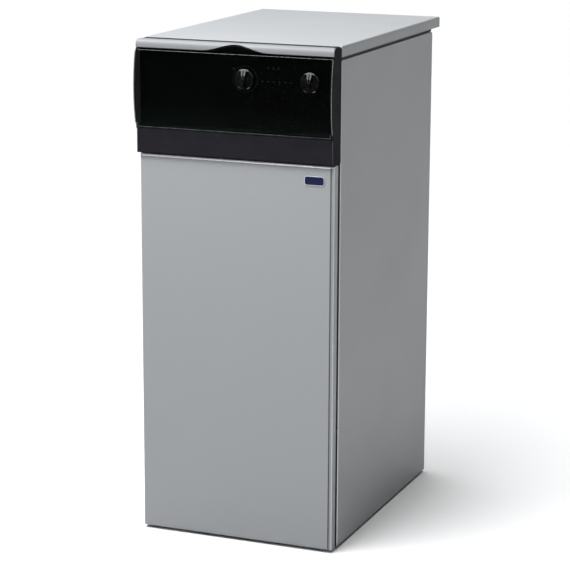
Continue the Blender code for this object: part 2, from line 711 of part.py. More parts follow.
def circuit_board(floor):
    """The board on four posts, with a transformer, two relays and a capacitor."""
    under, over = floor + 0.006, floor + 0.0076
    foot = over - 0.0006
    board = block("control_board", (-0.145, -0.240, under), (-0.070, -0.140, over), BOARD_GREEN)
    join(board,
         block("transformer", (-0.138, -0.175, foot), (-0.108, -0.145, floor + 0.030)),
         block("relay_front", (-0.100, -0.232, foot), (-0.078, -0.216, floor + 0.023)),
         block("relay_middle", (-0.100, -0.210, foot), (-0.078, -0.194, floor + 0.023)),
         block("capacitor", (-0.136, -0.225, foot), (-0.122, -0.205, floor + 0.026)))
    for x in (-0.140, -0.075):
        for y in (-0.235, -0.145):
            join(board, rod(f"board_post_{x:.3f}_{y:.3f}", (x, y, floor + GAP), (x, y, foot), 0.003,
                            sides=8))


def terminal_strip(floor):
    """A six-way terminal block with a screw well over each way."""
    terminals = block("terminal_block", (0.030, -0.200, floor + GAP), (0.096, -0.172, floor + 0.016),
                      WHITE_PLASTIC)
    for index in range(6):
        x = 0.0355 + 0.011 * index
        cut(terminals, rod(f"terminal_screw_well_{index}", (x, -0.186, floor + 0.010),
                           (x, -0.186, floor + 0.02), 0.0030, sides=10))


def electrics():
    back = FASCIA_Y + FASCIA_THICK + GAP
    reach = 0.016
    switch = block("selector_switch", (SELECTOR_X - reach, back, KNOB_Z - reach),
                   (SELECTOR_X + reach, back + 0.028, KNOB_Z + reach), WHITE_PLASTIC, radius=0.0015,
                   segments=1)
    cut(switch, shaft_bore("switch_bore", SELECTOR_X))
    sensor = turned("thermostat_body", (THERMOSTAT_X, back, KNOB_Z), Y_AXIS,
                    [(0, 0.022), (0.009, 0.022), (0.009, 0.017), (0.018, 0.017), (0.018, 0), (0, 0)],
                    ALUMINIUM, steps=24)
    cut(sensor, shaft_bore("thermostat_bore", THERMOSTAT_X))

    box = pan("control_box", (-BOX_HALF_W, CASE_FRONT + 0.0015, BOX_BOTTOM), (BOX_HALF_W, -0.125, BOX_TOP),
              (0, -1, 0), GALVANISED, thick=FLUE_SHEET)
    low, high = BOX_BOTTOM - 0.012, BOX_BOTTOM + 0.018
    cut(box,
        rod("capillary_hole", (THERMOSTAT_X, -0.235, low), (THERMOSTAT_X, -0.235, high), 0.004, sides=12),
        rod("lead_hole", (-0.060, -0.200, low), (-0.060, -0.200, high), 0.0035, sides=12))
    circuit_board(BOX_BOTTOM + FLUE_SHEET)
    terminal_strip(BOX_BOTTOM + FLUE_SHEET)

    bulb_x = SECTION_PITCH
    route = [(THERMOSTAT_X, back + 0.0225, KNOB_Z), (THERMOSTAT_X, -0.243, KNOB_Z - 0.001),
             (THERMOSTAT_X, -0.2355, KNOB_Z - 0.015), (THERMOSTAT_X, -0.235, 0.740),
             (THERMOSTAT_X, -0.235, 0.700), (0.130, -0.232, 0.670), (0.116, -0.215, 0.630),
             (0.096, -0.195, 0.590), (bulb_x + 0.0005, -0.184, BULB_Z + 0.001),
             (bulb_x, -0.176, BULB_Z), (bulb_x, -0.168, BULB_Z)]
    capillary = wire("thermostat_capillary", smooth_path(route, 3), 0.0014, COPPER)
    join(capillary, rod("thermostat_bulb", (bulb_x, -0.172, BULB_Z), (bulb_x, SECTION_FRONT - GAP, BULB_Z),
                        0.004, sides=12))

    lead_route = [(-BAR_X, -0.1856, ELECTRODE_Z), (-BAR_X, -0.1960, ELECTRODE_Z + 0.0015),
                  (-0.040, -0.2040, 0.190), (-0.032, -0.2020, 0.230), (-0.028, -0.192, 0.300),
                  (-0.030, -0.188, 0.420), (-0.045, -0.190, 0.560), (-0.060, -0.200, 0.670),
                  (-0.060, -0.200, 0.716)]
    wire("ignition_lead", smooth_path(lead_route, 3), 0.0024, CABLE)


# ---------------------------------------------------------------- heat exchanger

def section(name, x):
    """One cast-iron section: a core plate, sealing ribs front and rear, and two port bosses."""
    core = block(name, (x - SECTION_CORE, SECTION_FRONT + 0.004, SECTION_BOTTOM),
                 (x + SECTION_CORE, SECTION_REAR - 0.004, SECTION_TOP), CAST_IRON, radius=0.012,
                 segments=2, wanted=lambda middle, direction: abs(direction.x) > 0.9)
    low_x, high_x = x - SECTION_HALF, x + SECTION_HALF
    rib_low, rib_high = SECTION_BOTTOM + 0.002, SECTION_TOP - 0.002
    join(core,
         block(name + "_front_rib", (low_x, SECTION_FRONT, rib_low),
               (high_x, SECTION_FRONT + RIB_DEPTH, rib_high)),
         block(name + "_rear_rib", (low_x, SECTION_REAR - RIB_DEPTH, rib_low),
               (high_x, SECTION_REAR, rib_high)),
         rod(name + "_upper_port", (low_x, PORT_Y, FLOW_Z), (high_x, PORT_Y, FLOW_Z), PORT_R),
         rod(name + "_lower_port", (low_x, PORT_Y, RETURN_Z), (high_x, PORT_Y, RETURN_Z), PORT_R))
    for label, z in (("upper", SECTION_TOP - ROD_IN), ("lower", SECTION_BOTTOM + ROD_IN)):
        cut(core, rod(f"{name}_{label}_rod_hole", (low_x - 0.01, ROD_Y, z), (high_x + 0.01, ROD_Y, z),
                      0.006, sides=16))


def tie_rod(name, z):
    """A long bolt through all the sections, with a nut at each end."""
    nut_near = SECTION_PITCH + SECTION_CORE + GAP
    nut_far = nut_near + 0.008
    end = nut_far + 0.006
    bar = rod(name, (-end, ROD_Y, z), (end, ROD_Y, z), 0.005, GALVANISED, sides=16)
    for side in (-1, 1):
        join(bar, rod(f"{name}_nut_{side + 1}", (side * nut_near, ROD_Y, z), (side * nut_far, ROD_Y, z),
                      0.0095, sides=6))


def water_pipe(name, x, z):
    """A straight pipe from a section's rear tapping out through the rear panel, open at its end."""
    start = SECTION_REAR + GAP
    length = PIPE_END - start
    bore_end = length - 0.030
    turned(name, (x, start, z), Y_AXIS,
           [(PIPE_BORE_R, length), (PIPE_R - 0.0008, length), (PIPE_R, length - 0.001), (PIPE_R, 0),
            (0, 0), (0, bore_end), (PIPE_BORE_R, bore_end)], GALVANISED, steps=24)


def insulation_jacket():
    """A wool sleeve round the sections, with holes for the pipes, the drain cock and the bulb."""
    outer_x, inner_x = 0.157, 0.143
    front, rear = SECTION_FRONT - 0.0155, SECTION_REAR + 0.0155
    jacket = block("insulation_jacket", (-outer_x, front, 0.2065), (outer_x, rear, 0.5965), WOOL)
    cut(jacket,
        block("jacket_cutter", (-inner_x, SECTION_FRONT - 0.0012, 0.1),
              (inner_x, SECTION_REAR + 0.0012, 0.7)),
        through_hole("jacket_flow_hole", SECTION_PITCH, FLOW_Z, rear, PIPE_R + 0.001),
        through_hole("jacket_return_hole", -SECTION_PITCH, RETURN_Z, rear, PIPE_R + 0.001),
        through_hole("jacket_drain_hole", -SECTION_PITCH, DRAIN_Z, front, 0.0115),
        through_hole("jacket_bulb_hole", SECTION_PITCH, BULB_Z, front, 0.0060, sides=12))


def drain_cock():
    """A brass plug cock with a downward tail and a lever on top."""
    x, y, z = -SECTION_PITCH, DRAIN_Y, DRAIN_Z
    cock = rod("drain_cock", (x, SECTION_FRONT - GAP, z), (x, y + 0.011, z), 0.0085, BRASS, sides=16)
    join(cock,
         rod("drain_cock_hex", (x, y + 0.023, z), (x, y + 0.016, z), 0.0125, sides=6),
         rod("drain_cock_body", (x, y, z - 0.0120), (x, y, z + 0.0120), 0.0125, sides=20),
         rod("drain_cock_tail", (x, y, z - 0.0340), (x, y, z), 0.0065, sides=16))
    lever = block("drain_cock_lever", (x - 0.005, y - 0.0055, z + 0.0140),
                  (x + 0.034, y + 0.0055, z + 0.0175), BRASS, radius=0.0015, segments=1)
    join(lever, rod("drain_cock_hub", (x, y, z + 0.0123), (x, y, z + 0.0200), 0.0075, sides=16))
    hang_on("drain_cock_pivot", (x, y, z), lever)


def exchanger():
    for name, index in (("section_left", -1), ("section_middle", 0), ("section_right", 1)):
        section(name, index * SECTION_PITCH)
    tie_rod("upper_tie_rod", SECTION_TOP - ROD_IN)
    tie_rod("lower_tie_rod", SECTION_BOTTOM + ROD_IN)
    water_pipe("flow_pipe", SECTION_PITCH, FLOW_Z)
    water_pipe("return_pipe", -SECTION_PITCH, RETURN_Z)
    insulation_jacket()
    drain_cock()


# ---------------------------------------------------------------- flue

def hood_window(name):
    """A cutter for the opening between the hood and the diverter."""
    return block(name, (-0.105, 0.105, 0.618), (0.105, 0.135, 0.680))


def flue():
    hood = pan("flue_hood", (-HOOD_HALF_W, SECTION_FRONT + 0.002, SECTION_TOP + GAP),
               (HOOD_HALF_W, SECTION_REAR - 0.002, HOOD_TOP), (0, 0, -1), ALUMINIUM, thick=FLUE_SHEET)
    cut(hood,
        hood_window("hood_outlet_cutter"),
        block("cleaning_hole_cutter", (-0.085, -0.125, 0.67), (0.085, 0.005, 0.70)))
    cover = block("cleaning_cover", (-0.100, -0.138, HOOD_TOP + GAP), (0.100, 0.018, HOOD_TOP + 0.0025),
                  GALVANISED)
    rib_top = HOOD_TOP + 0.006
    join(cover, block("cleaning_cover_rib", (-0.080, -0.120, HOOD_TOP + 0.001), (0.080, 0.000, rib_top),
                      radius=0.003, segments=1, wanted=lambda middle, direction: at(middle.z, rib_top)))

    diverter = pan("draught_diverter", (-DIVERTER_HALF_W, DIVERTER_FRONT, DIVERTER_BOTTOM),
                   (DIVERTER_HALF_W, DIVERTER_REAR, DIVERTER_TOP), (0, 0, -1), ALUMINIUM, thick=FLUE_SHEET)
    cut(diverter,
        hood_window("diverter_inlet_cutter"),
        through_hole("diverter_outlet_cutter", 0, SPIGOT_Z, DIVERTER_REAR, SPIGOT_BORE_R, reach=0.01,
                     sides=48))

    start = DIVERTER_REAR + GAP
    length = REAR - start
    flange_r = SPIGOT_R + 0.010
    turned("flue_spigot", (0, start, SPIGOT_Z), Y_AXIS,
           [(SPIGOT_BORE_R, length), (SPIGOT_R, length), (SPIGOT_R, SPIGOT_FLANGE),
            (flange_r, SPIGOT_FLANGE), (flange_r, 0), (SPIGOT_BORE_R, 0)], ALUMINIUM, steps=48)


# ---------------------------------------------------------------- burner

def burner_bar(name, x):
    """A pressed-steel burner bar: arched top with flame slots, and a venturi mouth at its front."""
    half, low, shoulder = 0.020, BAR_AXIS_Z - 0.022, BAR_AXIS_Z + 0.012
    outline = [(x - half, low), (x + half, low)]
    outline += arc((x, shoulder), half, 0, 180, 8, radius_up=0.012)
    bar = outline_solid(name, outline, "XZ", SECTION_FRONT + 0.002, SECTION_REAR - 0.012, STAINLESS)
    mouth = turned(name + "_venturi", (x, SECTION_FRONT + 0.006, BAR_AXIS_Z), -Y_AXIS,
                   [(0, 0.0275), (0.0150, 0.0275), (0.0155, 0.0260), (0.0135, 0.0190), (0.0130, 0),
                    (0, 0)], steps=20)
    join(bar, mouth)
    cut(bar, rod(name + "_throat", (x, SECTION_FRONT - 0.030, BAR_AXIS_Z),
                 (x, SECTION_FRONT + 0.012, BAR_AXIS_Z), THROAT_R, sides=20))
    slot_top = shoulder + 0.0130
    for index in range(BAR_SLOTS):
        y = SECTION_FRONT + 0.022 + 0.024 * index
        cut(bar, block(f"{name}_slot_{index}", (x - 0.012, y - 0.002, slot_top - 0.008),
                       (x + 0.012, y + 0.002, slot_top + 0.002)))


def electrode(name, x):
    """A ceramic body through the front plate with a metal rod over the burner bar."""
    z = ELECTRODE_Z
    body = rod(name, (x, -0.1750, z), (x, -0.1440, z), 0.0045, CERAMIC, sides=16)
    join(body,
         rod(name + "_tip", (x, -0.1450, z), (x, -0.1000, z), 0.0013, sides=8),
         rod(name + "_tail", (x, -0.1850, z), (x, -0.1740, z), 0.0020, sides=8))


def burner_box():
    """The sheet box under the sections, and the removable plate that carries the burner."""
    front = SECTION_FRONT - 0.02
    inner = BURNER_HALF_W - FLUE_SHEET
    box = pan("burner_box", (-BURNER_HALF_W, SECTION_FRONT - 0.001, 0.0070),
              (BURNER_HALF_W, SECTION_REAR - 0.002, 0.1996), (0, 0, -1), GALVANISED, thick=FLUE_SHEET)
    cut(box,
        block("burner_box_top_cutter", (-inner, front, 0.19), (inner, SECTION_REAR - 0.0032, 0.21)),
        block("burner_box_front_cutter", (-inner, front, 0.0), (inner, SECTION_FRONT + 0.01, 0.21)))
    plate = block("burner_front_plate", (-BURNER_HALF_W, PLATE_FRONT, 0.060),
                  (BURNER_HALF_W, PLATE_FRONT + PLATE_THICK, 0.1985), GALVANISED)
    cut(plate, through_hole("sight_hole", 0, SIGHT_Z, PLATE_FRONT, 0.0085, sides=20))
    for side, x in (("left", -BAR_X), ("right", BAR_X)):
        cut(plate,
            through_hole(f"venturi_hole_{side}", x, BAR_AXIS_Z, PLATE_FRONT, 0.0160),
            through_hole(f"electrode_hole_{side}", x, ELECTRODE_Z, PLATE_FRONT, 0.0049, sides=16))
    turned("sight_glass", (0, PLATE_FRONT - GAP, SIGHT_Z), -Y_AXIS,
           [(0, 0.0030), (0.0105, 0.0030), (0.0110, 0.0040), (0.0140, 0.0040), (0.0145, 0.0030),
            (0.0145, 0), (0, 0)], GLASS, steps=24)


def gas_train():
    """The gas line: inlet pipe round to the valve, then the manifold that feeds both injectors."""
    left, right = 0.080, 0.128
    y, z = MANIFOLD_Y, BAR_AXIS_Z
    rod("gas_manifold", (-BAR_X - 0.020, y, z), (left - GAP, y, z), MANIFOLD_R, GALVANISED, sides=20)
    valve = block("gas_valve", (left, y - 0.026, z - 0.028), (right, y + 0.022, z + 0.024), ALUMINIUM,
                  radius=0.003, segments=1)
    x = (left + right) / 2
    join(valve,
         rod("valve_solenoid", (x, y - 0.002, z + 0.020), (x, y - 0.002, z + 0.058), 0.016),
         rod("valve_regulator", (x, y - 0.022, z - 0.006), (x, y - 0.034, z - 0.006), 0.010, sides=20))

    bend = 0.018
    corner = [(px, py, z) for px, py in arc((GAS_PIPE_X - bend, y + bend), bend, -90, 0, 8)]
    route = [(right + GAP, y, z), *corner, (GAS_PIPE_X, PIPE_END, z)]
    pipe = wire("gas_inlet_pipe", route, GAS_PIPE_R, COPPER, resolution=4)
    cut(pipe, rod("gas_pipe_bore", (GAS_PIPE_X, PIPE_END - 0.020, z), (GAS_PIPE_X, PIPE_END + 0.01, z),
                  0.0058, sides=16))


def burner():
    burner_box()
    for side, x in (("left", -BAR_X), ("right", BAR_X)):
        burner_bar(f"burner_bar_{side}", x)
        turned(f"injector_{side}", (x, MANIFOLD_Y + MANIFOLD_R + GAP, BAR_AXIS_Z), Y_AXIS,
               [(0, 0.0130), (0.0022, 0.0130), (0.0035, 0.0070), (0.0060, 0.0068), (0.0060, 0), (0, 0)],
               BRASS, steps=12)
    electrode("ignition_electrode", -BAR_X)
    electrode("flame_sensor", BAR_X)
    gas_train()


casing()
front_door()
door_fittings()
control_bezel()
top_trim_strip()
control_flap()
knob("selector_knob", SELECTOR_X)
knob("thermostat_knob", THERMOSTAT_X)
fascia()
electrics()
exchanger()
flue()
burner()
bpy.context.view_layer.update()
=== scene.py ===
"""Looks of the slim floor-standing gas boiler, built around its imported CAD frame."""

import json
import math

import bmesh
import bpy
from mathutils import Matrix, Vector, noise


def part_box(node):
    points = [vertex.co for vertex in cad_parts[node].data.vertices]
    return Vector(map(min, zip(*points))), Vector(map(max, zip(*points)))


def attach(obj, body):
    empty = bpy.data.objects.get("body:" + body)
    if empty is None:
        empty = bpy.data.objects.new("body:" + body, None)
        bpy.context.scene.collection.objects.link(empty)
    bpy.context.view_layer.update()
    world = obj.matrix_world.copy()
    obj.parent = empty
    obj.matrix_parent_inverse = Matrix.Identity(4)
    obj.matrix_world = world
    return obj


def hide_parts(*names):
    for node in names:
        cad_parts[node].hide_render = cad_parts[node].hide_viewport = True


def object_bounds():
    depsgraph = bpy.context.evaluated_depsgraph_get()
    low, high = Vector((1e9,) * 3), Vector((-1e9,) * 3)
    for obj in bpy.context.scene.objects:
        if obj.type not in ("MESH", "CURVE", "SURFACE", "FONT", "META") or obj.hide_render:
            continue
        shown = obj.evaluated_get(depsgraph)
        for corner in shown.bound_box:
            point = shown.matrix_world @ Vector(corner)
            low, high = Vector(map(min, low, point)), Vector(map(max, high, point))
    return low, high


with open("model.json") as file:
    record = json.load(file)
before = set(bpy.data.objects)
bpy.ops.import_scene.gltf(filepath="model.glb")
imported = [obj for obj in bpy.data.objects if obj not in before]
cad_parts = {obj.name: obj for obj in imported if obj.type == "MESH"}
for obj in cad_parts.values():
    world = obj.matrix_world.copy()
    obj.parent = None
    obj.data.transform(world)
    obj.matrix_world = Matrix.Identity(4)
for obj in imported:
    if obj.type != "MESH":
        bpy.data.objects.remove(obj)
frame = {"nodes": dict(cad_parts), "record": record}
CAD_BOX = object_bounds()

X_AXIS = Vector((1, 0, 0))
Y_AXIS = Vector((0, 1, 0))
Z_AXIS = Vector((0, 0, 1))

# Camera: a long lens, turned to the right of the front and looking slightly down (degrees)
LENS_MM = 135.8
CAMERA_PLACE = (1.384, -3.4745, 1.252)
CAMERA_TURN = 22.07
CAMERA_DROP = 13.01
CAMERA_ROLL = 0.23

# Lights. Soft boxes: name, place, target, width, height, power
SUN_DIRECTION = (0.22, 0.02, -1)
SUN_STRENGTH = 5.5
SUN_SPREAD = 60
SOFT_BOXES = (("near_light", (-0.3, -1.0, 1.7), (0, -0.28, 0.66), 0.9, 0.4, 36),
              ("front_light", (-1.0, -4.0, 2.3), (0, -0.28, 0.7), 2.4, 0.2, 30),
              ("edge_light", (3.2, -2.0, 0.95), (0.17, -0.28, 0.6), 0.12, 0.9, 12))
WALL_TURN = -22
WALL_FADE = {"From Min": 0.72, "From Max": 0.93, "To Min": 0.05, "To Max": 1.05}
FLOOR_HALF = 120

# Shading is smooth across edges below one angle, and edges above the other are rounded
SMOOTH_BELOW = math.radians(35)
ROUND_ABOVE = math.radians(40)

# Measures this near are the same, and CAD faces this near flat are joined
SAME = 0.00001
FLAT_WITHIN = math.radians(0.5)

# Casing
SHEET = 0.001
HALF_W = 0.175
DOOR_EDGE = 0.0045
HINGE_PIN = (-0.1655, -0.2665)
HINGE_PIN_HOLE = 0.0028

# Smoked flap and the bezel round it
FLAP_R = 0.293
FLAP_THICK = 0.0025
FLAP_GAP = 0.0005
FLAP_MID_Z = 0.768
FLAP_CENTRE_Y = -0.007
FLAP_AXIS = (-0.289, 0.7078)
FLAP_BOTTOM = 0.7052
FLAP_BEAD = 0.0032
FLAP_PIN = 0.0016
# Heights over which the flap's painted reflection of the floor fades out upwards
PAINTED_REFLECTION_LOW = 0.705
PAINTED_REFLECTION_HIGH = 0.748
BEZEL_FRONT = -0.289
BEZEL_GAP = 0.0004
BEZEL_HALF_W = 0.1747
BEZEL_INSIDE = 0.1715
STRIP_TOP = 0.7022
RAIL_BOTTOM = 0.8345
TRIM_BACK = -0.2785
TRIM_BOTTOM = 0.8365
TRIM_REACH = 0.0107
TRIM_THICK = 0.0022
TRIM_SQUARENESS = 0.72
WAVE_X = 0.003
WAVE_HALF_W = 0.063
WAVE_HEIGHT = 0.0112
WAVE_POWER = 1.2

# Heights and offsets of what passes through the wool jacket
PORT_X = 0.088
FLOW_Z = 0.56
RETURN_Z = 0.24
DRAIN_Z = 0.232
BULB_Z = 0.57

# The gas valve's coil, and the upper end of the ignition lead
COIL_Y = -0.197
LEAD_TOP = (-0.06, -0.2, 0.701)


# -------- camera, light and floor

def add_object(name, data):
    obj = bpy.data.objects.new(name, data)
    bpy.context.scene.collection.objects.link(obj)
    return obj


def make_camera():
    data = bpy.data.cameras.new("camera")
    data.lens = LENS_MM
    camera = add_object("camera", data)
    turn = (Matrix.Rotation(math.radians(CAMERA_TURN), 4, "Z")
            @ Matrix.Rotation(math.radians(90 - CAMERA_DROP), 4, "X")
            @ Matrix.Rotation(math.radians(CAMERA_ROLL), 4, "Z"))
    camera.matrix_world = Matrix.Translation(CAMERA_PLACE) @ turn
    bpy.context.scene.camera = camera


def add_light(name, kind, direction, place=(0, 0, 0)):
    """A light that shines along direction. Its data is returned for its size and power."""
    data = bpy.data.lights.new(name, kind)
    light = add_object(name, data)
    light.location = place
    light.rotation_euler = Vector(direction).to_track_quat("-Z", "Y").to_euler()
    return data


def make_lights():
    """A large even source far away, which lights the whole floor alike, and the soft boxes."""
    sun = add_light("overhead_light", "SUN", SUN_DIRECTION)
    sun.energy = SUN_STRENGTH
    sun.angle = math.radians(SUN_SPREAD)
    for name, place, target, width, height, power in SOFT_BOXES:
        box = add_light(name, "AREA", Vector(target) - Vector(place), place)
        box.shape = "RECTANGLE"
        box.size = width
        box.size_y = height
        box.energy = power


def make_surroundings():
    """A white wall behind the boiler, darkness elsewhere, and a wide pale floor."""
    world = bpy.data.worlds.new("studio")
    bpy.context.scene.world = world
    world.use_nodes = True
    tree = world.node_tree
    background = tree.nodes["Background"]
    background.inputs["Color"].default_value = (0.97, 0.985, 1.0, 1.0)
    new = tree.nodes.new
    link = tree.links.new
    around = new("ShaderNodeTexCoord")
    turn = new("ShaderNodeMapping")
    turn.inputs["Rotation"].default_value = (0, 0, math.radians(WALL_TURN))
    split = new("ShaderNodeSeparateXYZ")
    fade = new("ShaderNodeMapRange")
    for socket, number in WALL_FADE.items():
        fade.inputs[socket].default_value = number
    link(around.outputs["Generated"], turn.inputs["Vector"])
    link(turn.outputs["Vector"], split.inputs["Vector"])
    link(split.outputs["Y"], fade.inputs["Value"])
    link(fade.outputs["Result"], background.inputs["Strength"])
    bpy.context.scene.view_settings.view_transform = "Standard"

    grid = bmesh.new()
    bmesh.ops.create_grid(grid, x_segments=1, y_segments=1, size=FLOOR_HALF)
    floor = raw("floor", grid)
    floor.data.materials.append(STUDIO_FLOOR)


# -------- material tools

class Surface:
    """A Principled material and short ways to wire procedural detail into it."""

    def __init__(self, name, colour, roughness, metallic=0.0, specular=0.5, **inputs):
        self.material = bpy.data.materials.new(name)
        self.material.use_nodes = True
        self.tree = self.material.node_tree
        self.shader = self.tree.nodes["Principled BSDF"]
        self.colour = colour
        self.set("Base Color", (*colour, 1.0))
        self.set("Roughness", roughness)
        self.set("Metallic", metallic)
        self.set("Specular IOR Level", specular)
        for socket, value in inputs.items():
            self.set(socket.replace("_", " "), value)
        self.coordinates = self.node("ShaderNodeTexCoord").outputs["Object"]

    def set(self, socket, value):
        self.shader.inputs[socket].default_value = value

    def node(self, kind, **settings):
        made = self.tree.nodes.new(kind)
        for key, value in settings.items():
            setattr(made, key, value)
        return made

    def link(self, output, target):
        self.tree.links.new(output, target)

    def noise(self, scale, detail=3.0, roughness=0.5, stretch=None):
        """Noise at so many cycles a metre, which may be stretched along the axes."""
        texture = self.node("ShaderNodeTexNoise")
        texture.inputs["Scale"].default_value = scale
        texture.inputs["Detail"].default_value = detail
        texture.inputs["Roughness"].default_value = roughness
        self.link(self.stretched(stretch), texture.inputs["Vector"])
        return texture.outputs["Fac"]

    def height(self):
        """The height of the point in metres."""
        split = self.node("ShaderNodeSeparateXYZ")
        self.link(self.coordinates, split.inputs["Vector"])
        return split.outputs["Z"]

    def cells(self, scale, feature="F1", output="Color", stretch=None):
        texture = self.node("ShaderNodeTexVoronoi", feature=feature)
        texture.inputs["Scale"].default_value = scale
        self.link(self.stretched(stretch), texture.inputs["Vector"])
        return texture.outputs[output]

    def stretched(self, stretch):
        if stretch is None:
            return self.coordinates
        mapping = self.node("ShaderNodeMapping")
        mapping.inputs["Scale"].default_value = stretch
        self.link(self.coordinates, mapping.inputs["Vector"])
        return mapping.outputs["Vector"]

    def ramp(self, value, stops):
        """A colour ramp through (position, colour) stops."""
        ramp = self.node("ShaderNodeValToRGB")
        elements = ramp.color_ramp.elements
        while len(elements) < len(stops):
            elements.new(0.5)
        for element, (position, colour) in zip(elements, stops):
            element.position = position
            element.color = (*colour, 1.0)
        self.link(value, ramp.inputs["Fac"])
        return ramp.outputs["Color"]

    def span(self, value, low, high, start=0.3, end=0.7):
        """Map a texture value between start and end to a number between low and high."""
        span = self.node("ShaderNodeMapRange")
        for socket, number in zip(("From Min", "From Max", "To Min", "To Max"), (start, end, low, high)):
            span.inputs[socket].default_value = number
        self.link(value, span.inputs["Value"])
        return span.outputs["Result"]

    def paint(self, colour):
        self.link(colour, self.shader.inputs["Base Color"])

    def vary_colour(self, value, amount, start=0.3, end=0.7):
        """Shade the base colour darker and lighter by amount with a texture value."""
        dark = tuple(c * (1 - amount) for c in self.colour)
        light = tuple(min(1.0, c * (1 + amount)) for c in self.colour)
        self.paint(self.ramp(value, [(start, dark), (end, light)]))

    def vary_roughness(self, value, low, high, start=0.3, end=0.7):
        self.link(self.span(value, low, high, start, end), self.shader.inputs["Roughness"])

    def bump(self, value, depth, strength=1.0):
        """Raise the surface by up to depth metres."""
        bump = self.node("ShaderNodeBump")
        bump.inputs["Distance"].default_value = depth
        bump.inputs["Strength"].default_value = strength
        self.link(value, bump.inputs["Height"])
        self.link(bump.outputs["Normal"], self.shader.inputs["Normal"])


def uneven(name, colour, roughness, metallic=0.0, tint=None, gloss=None, relief=None, **inputs):
    """A material with noise in its colour (noise arguments, amount), in its roughness (noise
    arguments, low, high) and in its relief (noise arguments, depth, strength)."""
    surface = Surface(name, colour, roughness, metallic, **inputs)
    if tint:
        surface.vary_colour(surface.noise(*tint[0]), tint[1])
    if gloss:
        surface.vary_roughness(surface.noise(*gloss[0]), *gloss[1:])
    if relief:
        surface.bump(surface.noise(*relief[0]), *relief[1:])
    return surface.material


def painted_edge_highlight(name, colour, metallic):
    """Pale glossy paint on the rounded edges of the sheet metal: a painted highlight."""
    return uneven(name, colour, 0.3, metallic, tint=((900, 3.0), 0.05), gloss=((40.0, 4.0), 0.27, 0.34))


def grained_plastic(name, colour, roughness, **inputs):
    return uneven(name, colour, roughness, tint=((40, 4.0), 0.08),
                  gloss=((60, 4.0), roughness - 0.05, roughness + 0.07),
                  relief=((1800, 3.0), 0.00003, 0.5), **inputs)


def gloss_plastic(name, colour, roughness, **inputs):
    return uneven(name, colour, roughness, tint=((60, 3.0), 0.06),
                  gloss=((35, 5.0), roughness - 0.04, roughness + 0.06),
                  relief=((300, 2.0), 0.000002, 0.2), **inputs)


def bare_metal(name, colour, roughness, tarnish, stretch=None):
    return uneven(name, colour, roughness, 1.0, tint=((45, 5.0, 0.6), tarnish),
                  gloss=((300, 3.0, 0.5, stretch), roughness - 0.06, roughness + 0.12),
                  relief=((700, 2.0, 0.5, stretch), 0.000015, 0.4))


def smoked_acrylic():
    """Smoke-tinted sheet, painted paler and greener towards its lower edge: a painted reflection of the
    floor.
    """
    surface = Surface("smoked_acrylic", (0.0004, 0.0007, 0.0006), 0.06, Alpha=0.2, specular=0.015)
    # The lower edge is painted paler as a painted reflection of the floor, not as a tint of the sheet
    upwards = surface.span(surface.height(), 0.0, 1.0, PAINTED_REFLECTION_LOW, PAINTED_REFLECTION_HIGH)
    surface.paint(surface.ramp(upwards, [(0.0, (0.004, 0.0065, 0.0055)), (1.0, surface.colour)]))
    surface.vary_roughness(surface.noise(25, 4.0), 0.04, 0.09)
    surface.bump(surface.noise(60, 1.0), 0.000005, 0.2)
    return surface.material


def galvanised():
    """Zinc-coated sheet: crystal spangle in colour and gloss."""
    surface = Surface("galvanised_steel", (0.5, 0.51, 0.52), 0.42, 0.85)
    surface.vary_colour(surface.cells(110), 0.16, 0.1, 0.9)
    surface.vary_roughness(surface.cells(110), 0.34, 0.52, 0.1, 0.9)
    surface.bump(surface.noise(160, 4.0), 0.00002, 0.4)
    return surface.material


def circuit_board():
    """Green solder mask with a faint pattern of copper tracks under it."""
    surface = Surface("circuit_board", (0.02, 0.17, 0.07), 0.35)
    tracks = surface.cells(420, "DISTANCE_TO_EDGE", "Distance", (1, 0.35, 1))
    surface.paint(surface.ramp(tracks, [(0.0, (0.05, 0.3, 0.12)), (0.12, (0.015, 0.13, 0.05))]))
    surface.bump(tracks, 0.00003, 0.4)
    return surface.material


